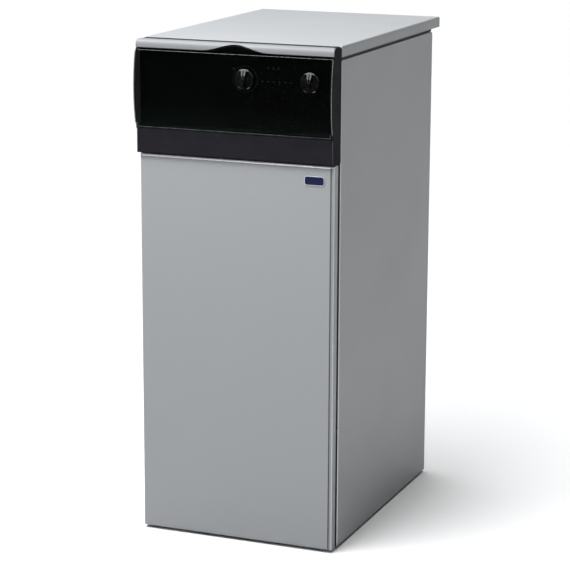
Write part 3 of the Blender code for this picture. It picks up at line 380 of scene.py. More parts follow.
# By CAD slot. Blender adds a number to a name that the CAD nodes' own materials already use
MATERIALS = {material.name.split(".")[0]: material for material in (
    # Satin metallic paint on sheet steel: fine flake, faint orange peel
    uneven("silver_paint", (0.193, 0.2, 0.208), 0.42, 0.15, tint=((2200, 2.0), 0.035),
           gloss=((6.0, 4.0), 0.4, 0.44), relief=((420, 2.0), 0.00001, 0.5)),
    # Lacquer on the trim strip, finer and less metallic
    uneven("silver_trim", (0.118, 0.122, 0.128), 0.48, 0.05, tint=((2600, 2.0), 0.03),
           gloss=((14.0, 4.0), 0.45, 0.52), relief=((500, 2.0), 0.000006, 0.4), specular=0.25),
    grained_plastic("dark_plastic", (0.0096, 0.0093, 0.0116), 0.45, specular=0.01),
    gloss_plastic("black_plastic", (0.0003, 0.0003, 0.0004), 0.48, specular=0.02),
    smoked_acrylic(),
    uneven("black_rubber", (0.018, 0.018, 0.019), 0.75, tint=((90, 4.0), 0.25),
           relief=((900, 3.0), 0.00004, 0.6)),
    gloss_plastic("navy_enamel", (0.003, 0.005, 0.027), 0.15, specular=0.15),
    galvanised(),
    uneven("cast_iron", (0.075, 0.073, 0.075), 0.72, 0.55, tint=((24, 6.0, 0.65), 0.3),
           gloss=((90, 4.0), 0.62, 0.85), relief=((650, 5.0, 0.6), 0.00025, 0.8)),
    # Pressed wool board: matted fibres that run along the board
    uneven("mineral_wool", (0.5, 0.47, 0.39), 0.95, tint=((260, 6.0, 0.7, (1, 1, 0.35)), 0.22),
           relief=((520, 6.0, 0.7, (1, 1, 0.3)), 0.0008, 0.9), Sheen_Weight=0.3),
    bare_metal("stainless_steel", (0.55, 0.55, 0.56), 0.3, 0.08, (1, 0.05, 1)),
    bare_metal("brass", (0.56, 0.42, 0.2), 0.32, 0.14),
    bare_metal("copper", (0.62, 0.28, 0.16), 0.3, 0.2),
    uneven("aluminium", (0.58, 0.59, 0.61), 0.4, 0.9, tint=((18, 5.0, 0.6, (1, 1, 14)), 0.1),
           gloss=((220, 3.0, 0.6, (1, 1, 0.1)), 0.34, 0.5), relief=((350, 3.0), 0.00002, 0.4)),
    uneven("sight_glass", (0.75, 0.85, 0.85), 0.05, gloss=((80, 3.0), 0.03, 0.09), Alpha=0.35),
    uneven("lamp_lens", (0.011, 0.01, 0.01), 0.2, tint=((500, 2.0), 0.15), specular=0.2),
    uneven("ceramic", (0.82, 0.8, 0.74), 0.3, tint=((200, 4.0), 0.05), relief=((400, 2.0), 0.00002, 0.3),
           Coat_Weight=0.5, Coat_Roughness=0.1),
    circuit_board(),
    grained_plastic("white_plastic", (0.68, 0.67, 0.61), 0.42),
    uneven("silicone_cable", (0.42, 0.06, 0.035), 0.55, tint=((300, 3.0), 0.12),
           relief=((900, 2.0), 0.00003, 0.5), Sheen_Weight=0.1),
)}

# Materials of the floor, of single faces and of small pieces without a CAD slot of their own
STUDIO_FLOOR = uneven("studio_floor", (0.55, 0.554, 0.558), 0.95, tint=((3.0,), 0.004))
# The flap's cut edges, painted pale green: a painted highlight of light glowing in the edge
ACRYLIC_EDGE_HIGHLIGHT = uneven("acrylic_edge_highlight", (0.16, 0.2, 0.185), 0.25, tint=((90, 4.0), 0.35),
                      gloss=((300, 3.0), 0.2, 0.35))
KNOB_PLASTIC = gloss_plastic("knob_plastic", (0.0012, 0.0012, 0.0014), 0.2, specular=0.2)
# Paler knob plastics for faces that would catch the lamps: a dim and a bright painted highlight
KNOB_DIM_PAINTED_HIGHLIGHT = gloss_plastic("knob_dim_painted_highlight", (0.022, 0.022, 0.025), 0.2, specular=0.2)
KNOB_PAINTED_HIGHLIGHT = gloss_plastic("knob_painted_highlight", (0.17, 0.17, 0.18), 0.2, specular=0.2)
# Paler bezel plastic: a painted reflection on the cheeks' inner faces and a painted highlight line down the
# strip's right end
CHEEK_PAINTED_HIGHLIGHT = grained_plastic("cheek_painted_highlight", (0.05, 0.046, 0.054), 0.5, specular=0.1)
# Dark paint in the door's groove: painted shade
GROOVE_PAINTED_SHADE = grained_plastic("groove_painted_shade", (0.056, 0.058, 0.061), 0.5, specular=0.1)
# Dark strip on the side panels' front folds: a door seal, and painted shade in the gap behind the door
DOOR_SEAL_AND_SHADE = grained_plastic("door_seal_and_shade", (0.034, 0.034, 0.035), 0.7, specular=0.2)
PRINTED_MARK = uneven("printed_mark", (0.014, 0.014, 0.015), 0.5, tint=((900, 3.0), 0.2))
# Painted highlights on the door's top rounding, and dimmer ones on its opening edge and the side panels'
# front folds
BRIGHT_PAINTED_HIGHLIGHT = painted_edge_highlight("bright_painted_highlight", (0.92, 0.93, 0.95), 0.3)
DIM_PAINTED_HIGHLIGHT = painted_edge_highlight("dim_painted_highlight", (0.4, 0.41, 0.425), 0.85)
BADGE_RIM = bare_metal("badge_rim", (0.8, 0.8, 0.84), 0.35, 0.05)
ZINC_SCREW = bare_metal("zinc_plated_steel", (0.62, 0.62, 0.6), 0.28, 0.06)
CAP_PLASTIC = grained_plastic("cap_plastic", (0.02, 0.02, 0.022), 0.4)


# -------- dressing the CAD nodes

def smooth_by_angle():
    """A node group that drops the imported normals and shades smooth below an edge angle."""
    group = bpy.data.node_groups.new("smooth_by_angle", "GeometryNodeTree")
    group.interface.new_socket("Geometry", in_out="INPUT", socket_type="NodeSocketGeometry")
    group.interface.new_socket("Geometry", in_out="OUTPUT", socket_type="NodeSocketGeometry")
    new = group.nodes.new
    link = group.links.new
    start = new("NodeGroupInput")
    end = new("NodeGroupOutput")
    drop = new("GeometryNodeRemoveAttribute")
    drop.inputs["Name"].default_value = "custom_normal"
    faces = new("GeometryNodeSetShadeSmooth")
    faces.domain = "FACE"
    edges = new("GeometryNodeSetShadeSmooth")
    edges.domain = "EDGE"
    angle = new("GeometryNodeInputMeshEdgeAngle")
    below = new("FunctionNodeCompare")
    below.operation = "LESS_THAN"
    below.inputs[1].default_value = SMOOTH_BELOW
    link(start.outputs[0], drop.inputs["Geometry"])
    link(drop.outputs["Geometry"], faces.inputs["Geometry"])
    link(faces.outputs["Geometry"], edges.inputs["Geometry"])
    link(angle.outputs["Unsigned Angle"], below.inputs[0])
    link(below.outputs["Result"], edges.inputs["Shade Smooth"])
    link(edges.outputs["Geometry"], end.inputs[0])
    return group


SMOOTH = smooth_by_angle()

# Width of the softened edges by slot, where it isn't the usual one
USUAL_ROUND = 0.0003
EDGE_ROUND = {"silver_paint": 0.0, "black_rubber": 0.0008, "cast_iron": 0.002, "mineral_wool": 0.003,
              "white_plastic": 0.0005, "brass": 0.0005, "aluminium": 0.0004}
PLAIN_EDGES = {"ignition_lead", "thermostat_capillary", "gas_inlet_pipe"}


def soften(obj, width, segments):
    """Round an object's sharp edges."""
    bevel = obj.modifiers.new("soft_edges", "BEVEL")
    bevel.width = width
    bevel.segments = segments
    bevel.limit_method = "ANGLE"
    bevel.angle_limit = ROUND_ABOVE


def shade(obj):
    """Shade an object smooth, with its flat faces kept flat."""
    obj.modifiers.new("smooth_by_angle", "NODES").node_group = SMOOTH
    obj.modifiers.new("flat_face_normals", "WEIGHTED_NORMAL").keep_sharp = True


def dress(name, obj):
    """Give a CAD node its material, softened edges and smooth shading."""
    slot = next(part["material_slot"] for part in frame["record"]["subparts"] if part["node"] == name)
    obj.material_slots[0].material = MATERIALS[slot]
    obj.modifiers.new("weld", "WELD").merge_threshold = SAME
    width = EDGE_ROUND.get(slot, USUAL_ROUND)
    if width and name not in PLAIN_EDGES:
        flat = obj.modifiers.new("join_flat_faces", "DECIMATE")
        flat.decimate_type = "DISSOLVE"
        flat.angle_limit = FLAT_WITHIN
        soften(obj, width, 2)
    shade(obj)


# -------- building tools

def cube_between(low, high):
    """A bmesh box from its lowest to its highest corner."""
    low = Vector(low)
    high = Vector(high)
    bm = bmesh.new()
    bmesh.ops.create_cube(bm, size=1)
    bmesh.ops.scale(bm, vec=high - low, verts=bm.verts)
    bmesh.ops.translate(bm, vec=(low + high) / 2, verts=bm.verts)
    return bm


def round_edges(bm, wanted, radius, segments):
    """Round the edges for which wanted(middle, direction) is true."""
    chosen = []
    for edge in bm.edges:
        start, end = (vert.co for vert in edge.verts)
        if wanted((start + end) / 2, (end - start).normalized()):
            chosen.append(edge)
    bmesh.ops.bevel(bm, geom=chosen, offset=radius, segments=segments, affect="EDGES", profile=0.5)
    return bm


def at(value, wanted):
    """True if two measures are the same."""
    return abs(value - wanted) < SAME


def arc(centre, radius, start, end, steps, radius_up=None):
    """Points of a circle or ellipse arc, angles in degrees from the first axis."""
    second = radius if radius_up is None else radius_up
    points = []
    for step in range(steps + 1):
        angle = math.radians(start + (end - start) * step / steps)
        points.append((centre[0] + radius * math.cos(angle), centre[1] + second * math.sin(angle)))
    return points


def prism(points, plane, low, high):
    """A bmesh of a flat outline in the plane "YZ", "XZ" or "XY", filled from low to high."""
    first, second, along = {"YZ": (Y_AXIS, Z_AXIS, X_AXIS), "XZ": (X_AXIS, Z_AXIS, Y_AXIS),
                            "XY": (X_AXIS, Y_AXIS, Z_AXIS)}[plane]
    bm = bmesh.new()
    face = bm.faces.new([bm.verts.new(first * a + second * b + along * low) for a, b in points])
    grown = bmesh.ops.extrude_face_region(bm, geom=[face])["geom"]
    moved = [item for item in grown if isinstance(item, bmesh.types.BMVert)]
    bmesh.ops.translate(bm, verts=moved, vec=along * (high - low))
    bmesh.ops.recalc_face_normals(bm, faces=bm.faces)
    return bm


def placed(bm, place, direction):
    """Turn a bmesh made up the Z axis to point along direction, and move it to place."""
    turn = Z_AXIS.rotation_difference(Vector(direction)).to_matrix().to_4x4()
    bm.transform(Matrix.Translation(place) @ turn)
    return bm


def lathe(profile, base, direction, steps=64, closed=False):
    """A bmesh turned from (radius, distance along direction) points."""
    bm = bmesh.new()
    rings = []
    for radius, height in profile:
        count = steps if radius > 0 else 1
        angles = [2 * math.pi * step / steps for step in range(count)]
        rings.append([bm.verts.new((radius * math.cos(a), radius * math.sin(a), height)) for a in angles])
    pairs = list(zip(rings, rings[1:]))
    if closed:
        pairs.append((rings[-1], rings[0]))
    for lower, upper in pairs:
        for step in range(steps):
            after = (step + 1) % steps
            corners = [lower[step % len(lower)], lower[after % len(lower)],
                       upper[after % len(upper)], upper[step % len(upper)]]
            corners = list(dict.fromkeys(corners))
            if len(corners) > 2:
                bm.faces.new(corners)
    bmesh.ops.recalc_face_normals(bm, faces=bm.faces)
    return placed(bm, base, direction)


def rod(radius, start, end, place, direction, steps=24):
    """A round tool from start to end along direction."""
    return lathe([(0, start), (radius, start), (radius, end), (0, end)], place, direction, steps)


def centre_of(name):
    """The middle of a CAD node's box, as x, y and z."""
    return [(a + b) / 2 for a, b in zip(*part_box(name))]


def merged(*meshes):
    """One bmesh that holds several."""
    total = bmesh.new()
    for bm in meshes:
        mesh = bpy.data.meshes.new("merged")
        bm.to_mesh(mesh)
        bm.free()
        total.from_mesh(mesh)
        bpy.data.meshes.remove(mesh)
    return total


def raw(name, bm):
    """An object without a material, ready to be a tool or to be finished as a piece."""
    mesh = bpy.data.meshes.new(name)
    bm.to_mesh(mesh)
    bm.free()
    return add_object(name, mesh)


def settle(obj):
    """Replace an object's mesh by what its modifiers make of it."""
    bpy.context.view_layer.update()
    evaluated = obj.evaluated_get(bpy.context.evaluated_depsgraph_get())
    mesh = bpy.data.meshes.new_from_object(evaluated)
    obj.modifiers.clear()
    obj.data = mesh
    return obj


def carve(obj, *tools, operation="DIFFERENCE"):
    """Boolean the tool meshes into an object and drop the tools."""
    objects = [raw(f"{obj.name}_tool_{index}", bm) for index, bm in enumerate(tools)]
    for tool in objects:
        modifier = obj.modifiers.new("carve", "BOOLEAN")
        modifier.operation = operation
        modifier.object = tool
        modifier.solver = "EXACT"
    settle(obj)
    for tool in objects:
        bpy.data.objects.remove(tool, do_unlink=True)


def folded(name, low, high, open_side, rounds=(), lip=0.0):
    """A folded sheet-metal tray: a box with one side open, and a lip around the opening."""
    bm = cube_between(low, high)
    for wanted, radius, segments in rounds:
        round_edges(bm, wanted, radius, segments)
    bm.normal_update()
    side = Vector(open_side)
    face = max(bm.faces, key=lambda f: f.normal.dot(side) * f.calc_area())
    if lip:
        bmesh.ops.inset_region(bm, faces=[face], thickness=lip, use_even_offset=True)
    bmesh.ops.delete(bm, geom=[face], context="FACES")
    obj = raw(name, bm)
    shell = obj.modifiers.new("sheet", "SOLIDIFY")
    shell.thickness = SHEET
    shell.offset = -1
    shell.use_even_offset = True
    return settle(obj)


def mark_faces(obj, material, wanted):
    """Give another material to the faces for which wanted(middle, normal) is true."""
    obj.data.materials.append(material)
    for polygon in obj.data.polygons:
        if wanted(polygon.center, polygon.normal):
            polygon.material_index = len(obj.data.materials) - 1


def finish(obj, slot, *replaced, body="case", edge=0.0, segments=2, material=None):
    """Give a piece its material, by slot unless one is given, soft edges, smooth shading and body, and hide
    the CAD nodes it replaces.
    """
    obj.data.materials.clear()
    obj.data.materials.append(material or MATERIALS[slot])
    if edge:
        soften(obj, edge, segments)
    obj.data.shade_smooth()
    shade(obj)
    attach(obj, body)
    if replaced:
        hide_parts(*replaced)


# -------- casing

def side_panel(name, side):
    """A panel with a rounded upper rear corner, a painted highlight on its front fold's rounding, and a dark
    strip on the fold's face: a door seal, and painted shade for the gap behind the door.
    """
    low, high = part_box(name)
    panel = folded(name.replace("panel", "casing"), low, high, (-side, 0, 0), rounds=(
        (lambda middle, direction: at(middle.y, high.y) and at(middle.z, high.z), 0.007, 8),
        (lambda middle, direction: at(middle.x, side * HALF_W), 0.0015, 5)))
    finish(panel, "silver_paint", name)
    # A painted highlight down the front fold's rounding
    mark_faces(panel, DIM_PAINTED_HIGHLIGHT, lambda middle, normal: middle.y < low.y + 0.0016
               and 0.1 < abs(normal.x) < 0.98 and normal.y < -0.1)
    # The fold's front face is painted dark: a door seal, and painted shade in the gap
    mark_faces(panel, DOOR_SEAL_AND_SHADE, lambda middle, normal: at(middle.y, low.y) and normal.y < -0.99)


def lid():
    low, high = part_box("top_panel")
    cover = folded("lid_cover", low, high, (0, 0, -1),
                   rounds=((lambda middle, direction: at(middle.z, high.z), 0.0035, 6),
                           (lambda middle, direction: abs(direction.z) > 0.9, 0.002, 4)))
    finish(cover, "silver_paint", "top_panel")


def front_door():
    """The door skin, with its pin holes and a shallow groove down its opening edge, the groove painted dark
    as shade.
    """
    low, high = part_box("front_door")
    door = folded("door_skin", low, high, (0, 1, 0), lip=0.014,
                  rounds=((lambda middle, direction: at(middle.y, low.y), DOOR_EDGE, 8),))
    groove_x = high.x - 0.0052
    half = 0.0012
    deep = 0.0007
    groove = [(groove_x - half, low.y - 0.001), (groove_x - half, low.y + 0.2 * deep),
              (groove_x, low.y + deep), (groove_x + half, low.y + 0.2 * deep),
              (groove_x + half, low.y - 0.001)]
    carve(door,
          rod(HINGE_PIN_HOLE, -0.01, 0.7, (*HINGE_PIN, 0), Z_AXIS),
          prism(groove, "XY", low.z - 0.01, high.z + 0.01))
    finish(door, "silver_paint", "front_door", body="door")
    # Painted highlights on the opening edge's rounding and, brighter, on the top rounding
    mark_faces(door, DIM_PAINTED_HIGHLIGHT, lambda middle, normal: middle.y < low.y + DOOR_EDGE
               and middle.x > high.x - DOOR_EDGE and 0.7 < normal.x < 0.97)
    mark_faces(door, BRIGHT_PAINTED_HIGHLIGHT, lambda middle, normal: middle.y < low.y + DOOR_EDGE
               and middle.z > high.z - DOOR_EDGE and 0.1 < normal.z < 0.95)
    # The groove's floor is painted dark: painted shade
    mark_faces(door, GROOVE_PAINTED_SHADE, lambda middle, normal: abs(middle.x - groove_x) < half
               and low.y + 0.00005 < middle.y < low.y + SHEET)


# -------- control panel

def flap_curve(radius, low, high, steps=24):
    """Points up the flap's bend at a radius, from height low to height high."""
    start = 180 - math.degrees(math.asin((low - FLAP_MID_Z) / radius))
    end = 180 - math.degrees(math.asin((high - FLAP_MID_Z) / radius))
    return arc((FLAP_CENTRE_Y, FLAP_MID_Z), radius, start, end, steps)


def trim_curve(inset):
    """The trim's squared quarter ellipse, set in by inset, from its bottom to its top."""
    rise = CAD_BOX[1].z - TRIM_BOTTOM - inset
    steps = 24
    points = []
    for step in range(steps + 1):
        angle = math.radians(90 * step / steps)
        points.append((TRIM_BACK - (TRIM_REACH - inset) * max(0.0, math.cos(angle)) ** TRIM_SQUARENESS,
                       TRIM_BOTTOM + rise * math.sin(angle) ** TRIM_SQUARENESS))
    return points


def wave_outline(height, base):
    """A bell-shaped wave standing on base, closed by a flat bottom a little below it."""
    drop = 0.002
    steps = 64
    points = [(WAVE_X - WAVE_HALF_W, base - drop), (WAVE_X + WAVE_HALF_W, base - drop)]
    for step in range(steps + 1):
        across = 1 - 2 * step / steps
        rise = height * (0.5 + 0.5 * math.cos(math.pi * across)) ** WAVE_POWER
        points.append((WAVE_X + WAVE_HALF_W * across, base + rise))
    return points


def end_roundings(top, radius):
    """Two cutters that round a strip's upper outer corners, seen from the front."""
    spare = 0.002
    cutters = []
    for side in (-1, 1):
        edge = side * BEZEL_HALF_W
        points = arc((edge - side * radius, top - radius), side * radius, 90, 0, 10, radius_up=radius)
        points += [(edge + side * spare, top - radius), (edge + side * spare, top + spare),
                   (edge - side * radius, top + spare)]
        cutters.append(prism(points, "XZ", -0.32, -0.24))
    return cutters


def strip_corner(side, front, low, high, radius):
    """A cutter that rounds the lower strip's upright end corner."""
    edge = side * BEZEL_HALF_W
    spare = 0.004
    points = arc((edge - side * radius, front + radius), side * radius, 0, -90, 8, radius_up=radius)
    points += [(edge - side * radius, front - spare), (edge + side * spare, front - spare),
               (edge + side * spare, front + radius)]
    return prism(points, "XY", low, high)


def bezel():
    """The moulding: lower strip, end cheeks and a top rail that follows the back of the trim."""
    low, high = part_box("control_bezel")
    front = BEZEL_FRONT
    behind_trim = TRIM_BACK + BEZEL_GAP
    under_trim = TRIM_THICK + BEZEL_GAP
    outline = [(high.y, low.z)]
    outline += arc((front + 0.003, low.z + 0.003), 0.003, 270, 180, 6)
    outline += [(front - 0.0002, 0.68), (front - 0.0006, 0.69), (front - 0.0015, 0.6975),
                (front - 0.0022, 0.7012), (front - 0.0014, STRIP_TOP)]
    outline += flap_curve(FLAP_R - FLAP_THICK - FLAP_GAP, STRIP_TOP + BEZEL_GAP, RAIL_BOTTOM)
    outline += [(TRIM_BACK - TRIM_REACH + under_trim, RAIL_BOTTOM)]
    outline += trim_curve(under_trim)
    outline += [(behind_trim, CAD_BOX[1].z - under_trim), (behind_trim, high.z - 0.0003),
                (behind_trim + 0.0004, high.z), (high.y, high.z)]
    body = raw("bezel_moulding", prism(outline, "YZ", -BEZEL_HALF_W, BEZEL_HALF_W))
    inside = BEZEL_INSIDE
    socket_end = inside + 0.0022
    wall = 0.003
    carve(body,
          cube_between((-inside, -0.31, STRIP_TOP), (inside, 0, RAIL_BOTTOM)),
          cube_between((-inside, front + wall, low.z + wall), (inside, 0, STRIP_TOP - wall)),
          cube_between((-inside + wall, -0.265, RAIL_BOTTOM + 0.0025), (inside - wall, 0, high.z - wall)),
          prism(wave_outline(WAVE_HEIGHT - 0.001, RAIL_BOTTOM), "XZ", -0.3, -0.2685),
          rod(FLAP_PIN + 0.0003, -socket_end, socket_end, (0, *FLAP_AXIS), X_AXIS),
          *[strip_corner(side, front - 0.0012, low.z - 0.01, STRIP_TOP - 0.0005, 0.0035)
            for side in (-1, 1)],
          *end_roundings(high.z, 0.005))
    finish(body, "dark_plastic", "control_bezel", edge=0.0003)
    # Painted reflection on the cheeks' inner faces, and a painted highlight line on the right end's rounding
    # of the strip
    mark_faces(body, CHEEK_PAINTED_HIGHLIGHT, lambda middle, normal: (
        abs(normal.x) > 0.99 and at(abs(middle.x), inside) and middle.z > STRIP_TOP)
        or (middle.z < STRIP_TOP and middle.x > BEZEL_HALF_W - 0.0036 and 0.6 < normal.x < 0.9))


def trim():
    """The silver strip with the wave-shaped finger recess in its lower edge."""
    outline = trim_curve(0.0) + trim_curve(TRIM_THICK)[::-1]
    strip = raw("silver_strip", prism(outline, "YZ", -BEZEL_HALF_W, BEZEL_HALF_W))
    carve(strip,
          prism(wave_outline(WAVE_HEIGHT, TRIM_BOTTOM), "XZ", -0.31, 0),
          *end_roundings(CAD_BOX[1].z, 0.004))
    finish(strip, "silver_trim", "top_trim_strip", edge=0.0004, segments=3)


def flap():
    """The smoked flap: a bent sheet with rounded upper corners, a hinge bead and two pins."""
    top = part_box("control_flap")[1].z
    outer = flap_curve(FLAP_R, FLAP_BOTTOM, top, 40)
    inner = flap_curve(FLAP_R - FLAP_THICK, FLAP_BOTTOM, top, 40)
    sheet = raw("smoked_flap", prism(outer + inner[::-1], "YZ", -BEZEL_HALF_W, BEZEL_HALF_W))
    bead_end = BEZEL_INSIDE - FLAP_GAP
    pin_end = BEZEL_INSIDE + 0.0018
    notch_low = FLAP_BOTTOM - 0.01
    notch_top = FLAP_AXIS[1] + FLAP_BEAD
    carve(sheet,
          cube_between((-HALF_W, -0.31, notch_low), (-bead_end, -0.28, notch_top)),
          cube_between((bead_end, -0.31, notch_low), (HALF_W, -0.28, notch_top)),
          *end_roundings(top, 0.004))
    finish(sheet, "smoked_acrylic", "control_flap", body="flap", edge=0.0003)
    bend = Vector((0, FLAP_CENTRE_Y, FLAP_MID_Z))
    # The cut edges get a painted highlight
    mark_faces(sheet, ACRYLIC_EDGE_HIGHLIGHT, lambda middle, normal: abs(normal.dot(
        ((middle - bend) * Vector((0, 1, 1))).normalized())) < 0.5)
    profile = [(0, -pin_end), (FLAP_PIN, -pin_end), (FLAP_PIN, -bead_end), (FLAP_BEAD, -bead_end),
               (FLAP_BEAD, bead_end), (FLAP_PIN, bead_end), (FLAP_PIN, pin_end), (0, pin_end)]
    bead = raw("flap_hinge_bead", lathe(profile, (0, *FLAP_AXIS), X_AXIS, 32))
    finish(bead, "smoked_acrylic", body="flap")


def grip_blade(x, base_y, z, end):
    """A knob's tapered blade, with a groove along its ridge, from +end down to -end."""
    foot = base_y - 0.002
    rings = []
    blade = bmesh.new()
    for along, half, height in ((end, 0.006, 0.0056), (0.4 * end, 0.0044, 0.009), (0.0, 0.0034, 0.0107),
                                (-0.9 * end, 0.004, 0.0104), (-end, 0.0042, 0.0098)):
        ridge = base_y - height
        section = ((-half, foot), (-0.86 * half, ridge + 0.001), (-0.7 * half, ridge),
                   (-0.2 * half, ridge), (0, ridge + 0.0009), (0.2 * half, ridge),
                   (0.7 * half, ridge), (0.86 * half, ridge + 0.001), (half, foot))
        rings.append([blade.verts.new((x + a, b, z + along)) for a, b in section])
    for first, second in zip(rings, rings[1:]):
        for step in range(len(first)):
            after = (step + 1) % len(first)
            blade.faces.new((first[step], first[after], second[after], second[step]))
    blade.faces.new(rings[0])
    blade.faces.new(rings[-1][::-1])
    bmesh.ops.recalc_face_normals(blade, faces=blade.faces)
    return blade


def knob(name, body):
    """A dished knob with a grip blade, and painted highlights on its shoulder and ridge."""
    low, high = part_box(name)
    x, _, z = centre_of(name)
    radius = (high.x - low.x) / 2
    base_y = high.y
    blade_end = radius - 0.001
    shoulder = arc((radius - 0.0028, 0.0034), 0.0028, 0, 90, 7)
    disc = raw(name.replace("knob", "grip"), lathe(
        [(0, 0), (radius - 0.0004, 0), (radius, 0.0004), *shoulder, (radius - 0.0034, 0.006),
         (radius - 0.006, 0.0045), (radius - 0.0066, 0.0043), (0, 0.0043)],
        (x, base_y, z), -Y_AXIS, 72))
    carve(disc, grip_blade(x, base_y, z, blade_end), operation="UNION")
    carve(disc, rod(0.0033, -0.001, 0.0045, (x, base_y, z), -Y_AXIS))
    finish(disc, "black_plastic", name, body=body, edge=0.0002, material=KNOB_PLASTIC)

    def on_shoulder(middle, normal, start, end):
        """True on the shoulder, start to end degrees to either side of the top."""
        turn = abs(math.degrees(math.atan2(middle.x - x, middle.z - z)))
        across = math.hypot(middle.x - x, middle.z - z)
        return start <= turn < end and across > radius - 0.0026 and -0.88 < normal.y < -0.3

    def on_ridge(middle, normal, above):
        return (normal.y < -0.75 and middle.y < base_y - 0.006 and middle.z > z + above
                and 0.0006 < abs(middle.x - x) < 0.005)

    # Painted highlights: dim over the upper shoulder and the ridge, bright at the shoulder's top, at two
    # spots low on it and on the ridge's upper part
    mark_faces(disc, KNOB_DIM_PAINTED_HIGHLIGHT, lambda middle, normal: on_shoulder(middle, normal, 0, 75)
               or on_ridge(middle, normal, 0))
    mark_faces(disc, KNOB_PAINTED_HIGHLIGHT, lambda middle, normal: on_shoulder(middle, normal, 0, 32)
               or on_shoulder(middle, normal, 140, 160) or on_ridge(middle, normal, 0.4 * blade_end))


def fascia():
    """The black panel with its shaft and lamp holes, and its printed ring and marks."""
    low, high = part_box("fascia_panel")
    plate = raw("fascia_plate", cube_between(low, high))
    selector_x, _, selector_z = centre_of("selector_shaft")
    thermostat_x, _, thermostat_z = centre_of("thermostat_shaft")
    lens_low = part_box("indicator_lens_strip")[0]
    lamp_z = centre_of("indicator_lens_strip")[2]
    holes = [(selector_x, selector_z, 0.0036, 32), (thermostat_x, thermostat_z, 0.0036, 32)]
    holes += [(lens_low.x + 0.006 + 0.009 * index, lamp_z, 0.0021, 24) for index in range(3)]
    carve(plate, *[rod(radius, -0.01, 0.01, (x, low.y, z), Y_AXIS, steps) for x, z, radius, steps in holes])
    finish(plate, "black_plastic", "fascia_panel")

    ink = 0.00012
    sunk = 0.0001

    def tick(x, z, width, height):
        return cube_between((x - width / 2, low.y - ink, z - height / 2),
                            (x + width / 2, low.y + sunk, z + height / 2))

    row = ((0.0018, 0.0018), (0.004, 0.0006), (0.0022, 0.0012), (0.0012, 0.0026), (0.0022, 0.0014),
           (0.003, 0.0008))
    marks = [tick(0.048 + 0.01 * index, 0.79, width, height) for index, (width, height) in enumerate(row)]
    ring_profile = [(0.0212, 0), (0.0215, 0), (0.0215, ink + sunk), (0.0212, ink + sunk)]
    marks.append(lathe(ring_profile, (selector_x, low.y + sunk, selector_z), -Y_AXIS, 96, closed=True))
    marks += [tick(-0.003, 0.808, 0.0022, 0.0022), tick(0.082, 0.765, 0.002, 0.0008)]
    finish(raw("fascia_marks", merged(*marks)), "white_plastic", material=PRINTED_MARK)


def badge():
    """A plain navy plate in a thin silver rim."""
    low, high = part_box("door_badge")
    x, _, z = centre_of("door_badge")
    corners = ((1, 1, 0), (-1, 1, 90), (-1, -1, 180), (1, -1, 270))

    def plate_outline(inset, corner):
        reach_x = (high.x - low.x) / 2 - inset - corner
        reach_z = (high.z - low.z) / 2 - inset - corner
        return [point for sx, sz, start in corners
                for point in arc((x + sx * reach_x, z + sz * reach_z), corner, start, start + 90, 8)]

    rim = raw("badge_rim", prism(plate_outline(0, 0.0045), "XZ", low.y, high.y))
    carve(rim, prism(plate_outline(0.0006, 0.0039), "XZ", low.y - 0.001, low.y + 0.0005))
    finish(rim, "silver_trim", body="door", edge=0.00015, material=BADGE_RIM)
    field = raw("badge_field", prism(plate_outline(0.0007, 0.0038), "XZ", low.y + 0.0002, low.y + 0.0006))
    finish(field, "navy_enamel", "door_badge", body="door", edge=0.0001)


# -------- fixings

def screws(name, places, direction, head=0.0038, rise=0.0022, collar=0.0052):
    """Pan-head screws with a cross recess, each on its washer, all facing one way."""
    arm = 0.58 * head
    slot = 0.11 * head
    cross = [(slot, arm), (-slot, arm), (-slot, slot), (-arm, slot), (-arm, -slot), (-slot, -slot),
             (-slot, -arm), (slot, -arm), (slot, -slot), (arm, -slot), (arm, slot), (slot, slot)]
    profile = [(0, -0.0005), (collar, -0.0005), (collar, 0.0005), (collar - 0.0002, 0.0007), (head, 0.0007),
               (head, 0.0007 + 0.35 * rise), (0.93 * head, 0.75 * rise), (0.75 * head, 0.92 * rise),
               (0.5 * head, rise), (0, rise)]
    group = raw(name, merged(*[lathe(profile, place, direction, 28) for place in places]))
    carve(group, merged(*[placed(prism(cross, "XY", 0.35 * rise, rise + 0.001), place, direction)
                          for place in places]))
    finish(group, "galvanised_steel", material=ZINC_SCREW)


def case_screws():
    rear_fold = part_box("right_side_panel")[1].y
    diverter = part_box("draught_diverter")[1].y
    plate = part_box("burner_front_plate")[0].y
    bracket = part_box("upper_hinge_bracket")[1].y - 0.0014
    screws("rear_fold_screws",
           [(x, rear_fold, z) for x in (-0.1675, 0.1675) for z in (0.05, 0.23, 0.41, 0.59, 0.77)], Y_AXIS)
    screws("diverter_screws",
           [(x, diverter, z) for x in (-0.11, 0.11) for z in (0.623, 0.7135, 0.804)], Y_AXIS)
    screws("burner_plate_screws",
           [(x, plate, z) for x in (-0.131, 0.131) for z in (0.069, 0.129, 0.189)], -Y_AXIS)
    screws("hinge_screws", [(-0.1668, bracket, z) for z in (0.6345, 0.0225)], -Y_AXIS,
           head=0.003, rise=0.0012, collar=0.0036)


# -------- wool boards

